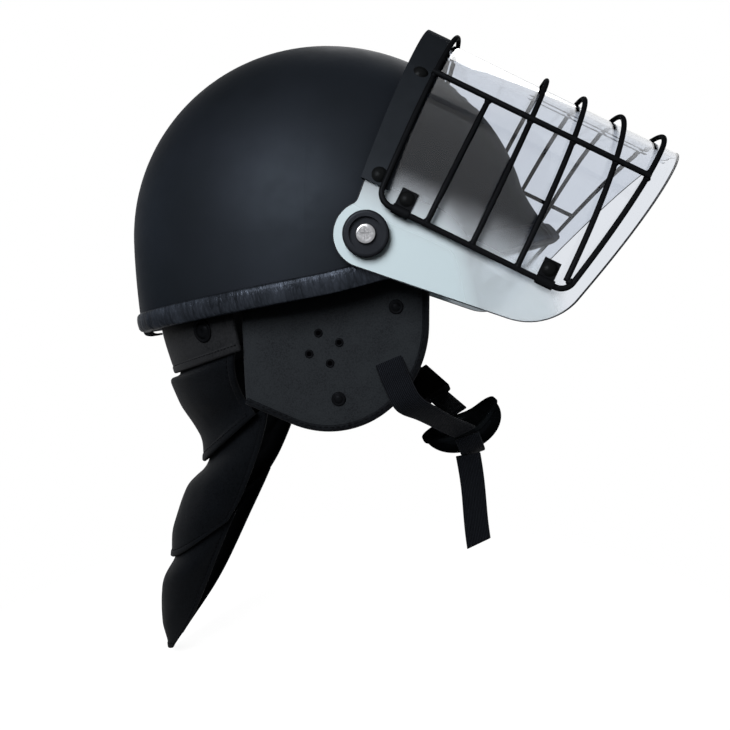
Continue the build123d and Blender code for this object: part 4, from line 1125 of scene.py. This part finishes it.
# %% Slices of the nape guard
NAPE_BACK, NAPE_HALF, NAPE_HEM, NAPE_DROP = 0.160, 0.099, 0.088, 0.213
EDGE_STEPS = (0.00015, 0.0005, 0.0010, 0.0018, 0.0028, 0.0038, 0.0046, 0.0051, 0.0056, 0.0064, 0.0076)
STITCH_STEP, SEAM_LIFT = 8, 0.0001
EDGE_THICK, EDGE_ROUND, END_SHARE = 0.0024, 0.0013, 0.06
BIND_SWELL, GROOVE = 0.00045, 0.00030
CRUMPLE = 0.25


def spaced(total, step):
    """Distances from 0 to the total: close together near both ends and even between."""
    ends = [0.0] + list(EDGE_STEPS)
    free = total - 2 * ends[-1]
    count = max(2, round(free / step))
    middle = [ends[-1] + free * place / count for place in range(1, count)]
    return ends + middle + [total - place for place in reversed(ends)]


def slice_shape(row):
    """Rear point, direction inwards, radius, half angle and half length of a slice's arc."""
    rear_back, rear_down, side_back, side_out, side_down = row
    rear = Vector((-NAPE_BACK * rear_back, 0, -NAPE_HEM - NAPE_DROP * rear_down))
    side = Vector((-NAPE_BACK * side_back, 0, -NAPE_HEM - NAPE_DROP * side_down))
    depth = (side - rear).length
    out = NAPE_HALF * side_out
    radius = (depth * depth + out * out) / (2 * depth)
    half = math.atan2(out, radius - depth)
    return rear, (side - rear) / depth, radius, half, radius * half


def guard_grid(rows, step):
    """Rows and columns of points on the outer face, and how far each lies from an edge."""
    fine = smooth_line([Vector(row) for row in rows], 16)
    walked = [0.0]
    for a, b in zip(fine, fine[1:]):
        walked.append(walked[-1] + (slice_shape(b)[0] - slice_shape(a)[0]).length)
    picked = []
    for due in spaced(walked[-1], step):
        index = max(i for i, w in enumerate(walked[:-1]) if w <= due + 1e-9)
        share = (due - walked[index]) / (walked[index + 1] - walked[index])
        picked.append(slice_shape(fine[index].lerp(fine[index + 1], min(1.0, share))))
    middle = picked[len(picked) // 2][4]
    across = [place / middle - 1 for place in spaced(2 * middle, step)]
    grid = []
    for rear, inwards, radius, half, _ in picked:
        grid.append([rear + inwards * (radius - radius * math.cos(half * a))
                     + Vector((0, radius * math.sin(half * a), 0)) for a in across])
    side = [[(1 - abs(a)) * shape[4] for a in across] for shape in picked]
    below = [[0.0] * len(across) for _ in grid]
    for i in range(len(grid) - 2, -1, -1):
        for j in range(len(across)):
            below[i][j] = below[i + 1][j] + (grid[i][j] - grid[i + 1][j]).length
    return grid, side, below


def grid_normals(grid):
    """Outward direction at each point of a grid."""
    normals = []
    for i, row in enumerate(grid):
        line = []
        for j in range(len(row)):
            down = grid[min(i + 1, len(grid) - 1)][j] - grid[max(i - 1, 0)][j]
            wide = row[min(j + 1, len(row) - 1)] - row[max(j - 1, 0)]
            line.append(wide.cross(down).normalized())
        normals.append(line)
    if normals[len(grid) // 2][len(grid[0]) // 2].x > 0:
        normals = [[-n for n in line] for line in normals]
    return normals


print("steps beside each edge:", len(EDGE_STEPS))

# %% [markdown]
# From its edge inwards a lame has a rounded rim, the swell of the binding, a stitched
# groove, and padding that is crumpled by noise. The ramps' ends are metres from the edge.
# Along its top, where the next piece lies over it, the lame stays thin.


# %% Padded sheets
def ramp(value, low, high):
    """Smooth step from 0 to 1."""
    share = min(1.0, max(0.0, (value - low) / (high - low)))
    return share * share * (3 - 2 * share)


def guard_sheet(name, node, body, slot, rows, step, bulge, lining, finish=None):
    """A bound and padded sheet through the slices, which replaces its solid."""
    grid, side, below = guard_grid(rows, step)
    normals = grid_normals(grid)
    rings, faces = [], []
    for i, row in enumerate(grid):
        outer, inner = [], []
        for j, base in enumerate(row):
            edge = min(side[i][j], below[i][j])
            over = below[0][j] - below[i][j]
            closing = min(edge, over)
            round_off = math.sqrt(max(0.0, 1 - max(0.0, 1 - closing / EDGE_ROUND) ** 2))
            if i in (0, len(grid) - 1):
                round_off = END_SHARE
            groove = ramp(edge, 0.0044, 0.0050) * (1 - ramp(edge, 0.0052, 0.0068))
            bind = BIND_SWELL * (1 - ramp(edge, 0.0044, 0.0051)) - GROOVE * groove
            free = ramp(over, 0.018, 0.036)
            puff = bulge * ramp(edge, 0.0052, 0.026) * free
            fold = 0.5 * noise.noise(base * 42) + 0.5 * noise.noise(base * 95)
            crumple = CRUMPLE * bulge * fold * ramp(edge, 0.006, 0.02) * free
            back = lining * ramp(below[i][j], 0.016, 0.042) * ramp(side[i][j], 0.004, 0.028)
            back *= ramp(over, 0.004, 0.03)
            normal = normals[i][j]
            centre = base - normal * EDGE_THICK / 2
            outer.append(centre + normal * round_off * (EDGE_THICK / 2 + bind + puff + crumple))
            inner.append(centre - normal * round_off * (EDGE_THICK / 2 + back))
        rings.append(outer + inner[-2:0:-1])
        faces.append(outer)
    piece = smooth_piece(skin_rings(rings), name, body, slot, node, finish)
    print(name, "faces:", len(piece.data.polygons))
    return piece, faces, normals


def seam_on(faces, normals):
    """Line a few steps inside the side and lower edges, just above the face."""
    last, far = len(faces) - 1 - STITCH_STEP, len(faces[0]) - 1 - STITCH_STEP
    path = [(i, STITCH_STEP) for i in range(last + 1)]
    path += [(last, j) for j in range(STITCH_STEP + 1, far + 1)]
    path += [(i, far) for i in range(last - 1, -1, -1)]
    return [faces[i][j] + normals[i][j] * SEAM_LIFT for i, j in path]


print("edge thickness:", EDGE_THICK)

# %% Three padded lames
UPPER_ROWS = (
    (0.880, -0.030, 0.505, 0.931, -0.138), (0.871, 0.003, 0.505, 0.931, -0.105),
    (0.915, 0.024, 0.510, 0.920, -0.070), (0.866, 0.100, 0.508, 0.878, -0.020),
    (0.785, 0.205, 0.490, 0.796, 0.040), (0.780, 0.300, 0.448, 0.792, 0.085))
MIDDLE_ROWS = (
    (0.742, 0.254, 0.413, 0.718, 0.061), (0.768, 0.312, 0.412, 0.726, 0.103),
    (0.852, 0.390, 0.445, 0.707, 0.197), (0.925, 0.540, 0.520, 0.656, 0.338),
    (0.945, 0.630, 0.590, 0.616, 0.431))
LOWER_ROWS = (
    (0.908, 0.595, 0.560, 0.555, 0.400), (0.934, 0.645, 0.590, 0.555, 0.450),
    (0.980, 0.715, 0.650, 0.505, 0.550), (1.000, 0.850, 0.795, 0.350, 0.790),
    (0.994, 0.990, 0.950, 0.125, 0.972))
LAME_STEP, LAME_BULGE = 0.0020, 0.0016
for level, rows, lining in (("upper", UPPER_ROWS, 0.0024), ("middle", MIDDLE_ROWS, 0.0050),
                            ("lower", LOWER_ROWS, 0.0050)):
    body = "nape_" + level
    piece, faces, normals = guard_sheet(level + "_guard", body + "_lame", body, "nape_lames", rows,
                                        LAME_STEP, LAME_BULGE, lining)
    seam = stitches_on(seam_on(faces, normals), STITCH_PITCH)
    stitch_row(level + "_guard_stitches", seam, body, "nape_lames")
print("lames done")

# %% [markdown]
# The collar is a single sheet of leather round the rear, held stretched between its snaps.
# One row of stitches runs along its hem.

# %% Leather collar
HEM_PITCH, COLLAR_STEP = 0.0026, 0.0024
COLLAR_ROWS = (
    (0.952, -0.260, 0.520, 0.985, -0.320), (0.944, -0.140, 0.505, 0.985, -0.220),
    (0.892, 0.000, 0.474, 0.980, -0.108))
collar, collar_faces, collar_normals = guard_sheet(
    "collar_leather", "nape_collar", "helmet", "trim", COLLAR_ROWS, COLLAR_STEP, 0.0, 0.0, collar_finish)
hem = zip(collar_faces[-1 - STITCH_STEP], collar_normals[-1 - STITCH_STEP])
seam = stitches_on([point + normal * SEAM_LIFT for point, normal in hem], HEM_PITCH)
stitch_row("collar_stitches", seam, "helmet", "trim")
print("collar done")

# %% [markdown]
# Snaps and eyelets are turned shapes: a profile from the rim to the middle, spun once
# round its axis. The collar's snaps sit on the leather where their solids are.

# %% Turned pieces
SPIN_STEPS = 40


def turned_pieces(name, profile, places, node=None, finish=None):
    """Copies of one spun profile, each at a point with its axis along a direction."""
    mesh = bmesh.new()
    for place, out in places:
        before = set(mesh.verts)
        verts = [mesh.verts.new((r, 0, h)) for r, h in profile]
        edges = [mesh.edges.new(pair) for pair in zip(verts, verts[1:])]
        bmesh.ops.spin(mesh, geom=verts + edges, cent=(0, 0, 0), axis=(0, 0, 1), angle=2 * math.pi,
                       steps=SPIN_STEPS, use_merge=True)
        turn_and_move(mesh, [v for v in mesh.verts if v not in before], out, place)
    bmesh.ops.remove_doubles(mesh, verts=mesh.verts, dist=MERGE)
    smooth_piece(mesh, name, "helmet", "snaps", node, finish)


EAR_SNAP = (
    (0.00425, 0), (0.00425, 0.0005), (0.0040, 0.0009), (0.0035, 0.0011), (0.0030, 0.0009),
    (0.0026, 0.0009), (0.0023, 0.0013), (0.0017, 0.0017), (0.0008, 0.0018), (0, 0.0018))
EYELET = (
    (0.0026, 0), (0.0026, 0.0003), (0.0023, 0.0007), (0.0019, 0.0008), (0.0015, 0.0007),
    (0.0012, 0.0003), (0.0012, 0))
# A near-black disc in each eyelet's opening is painted shade for the dark inside of the vent hole.
EYELET_SHADE_DISC = ((0.0014, 0.0005), (0, 0.0005))
COLLAR_SNAP = (
    (0.0072, 0), (0.0072, 0.0006), (0.0069, 0.0010), (0.0062, 0.0011), (0.0057, 0.0008),
    (0.0052, 0.0007), (0.0048, 0.0009), (0.0041, 0.0016), (0.0030, 0.0019), (0.0016, 0.0017), (0, 0.0016))
RETAINER_SNAP = [(r * 0.76, h) for r, h in COLLAR_SNAP]
SNAP_SPOTS = ((0.0156, -0.0392), (-0.0181, -0.0935))
EYELET_MIDDLE, EYELET_SPACING, EYELET_TURN = (-0.0265, -0.0635), 0.0135, math.radians(21)
FACE_OUT = EAR_OUT + 0.0003
reach = EYELET_SPACING / math.sqrt(2)
eyelet_spots = [(EYELET_MIDDLE[0] + reach * math.cos(angle), EYELET_MIDDLE[1] + reach * math.sin(angle))
                for angle in (quarter * math.pi / 2 + EYELET_TURN for quarter in range(4))]


def on_both_panels(spots):
    """Places on the two ear panels' outer faces, with the direction outwards."""
    return [(Vector((x, sign * FACE_OUT, z)), Vector((0, sign, 0))) for sign, _ in SIDES for x, z in spots]


turned_pieces("ear_snap_caps", EAR_SNAP, on_both_panels(SNAP_SPOTS), "ear_panel_snaps")
turned_pieces("ear_eyelets", EYELET, on_both_panels(eyelet_spots), "ear_vent_eyelets")
# Painted shade discs for the eyelets' openings.
hole_shade_finish = moulded_plastic("eyelet_hole", srgb(3, 3, 4), 0.8, 900, 0.00001)
turned_pieces("ear_eyelet_shade_discs", EYELET_SHADE_DISC, on_both_panels(eyelet_spots), finish=hole_shade_finish)
collar_points = [pair for row, line in zip(collar_faces, collar_normals) for pair in zip(row, line)]
snap_places = []
for sign, side in SIDES:
    near = [v.co for v in frame["nodes"]["collar_snaps"].data.vertices if v.co.y * sign > 0]
    middle = sum(near, Vector()) / len(near)
    snap_places.append(min(collar_points, key=lambda pair: (pair[0] - middle).length))
turned_pieces("collar_snap_caps", COLLAR_SNAP, snap_places, "collar_snaps")
low_corner, high_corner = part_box("rear_retainer_snap")
seat = Vector((high_corner[0], 0, (low_corner[2] + high_corner[2]) / 2))
turned_pieces("retainer_snap_cap", RETAINER_SNAP, [(seat, Vector((-1, 0, 0)))], "rear_retainer_snap")
print("snaps and eyelets done")
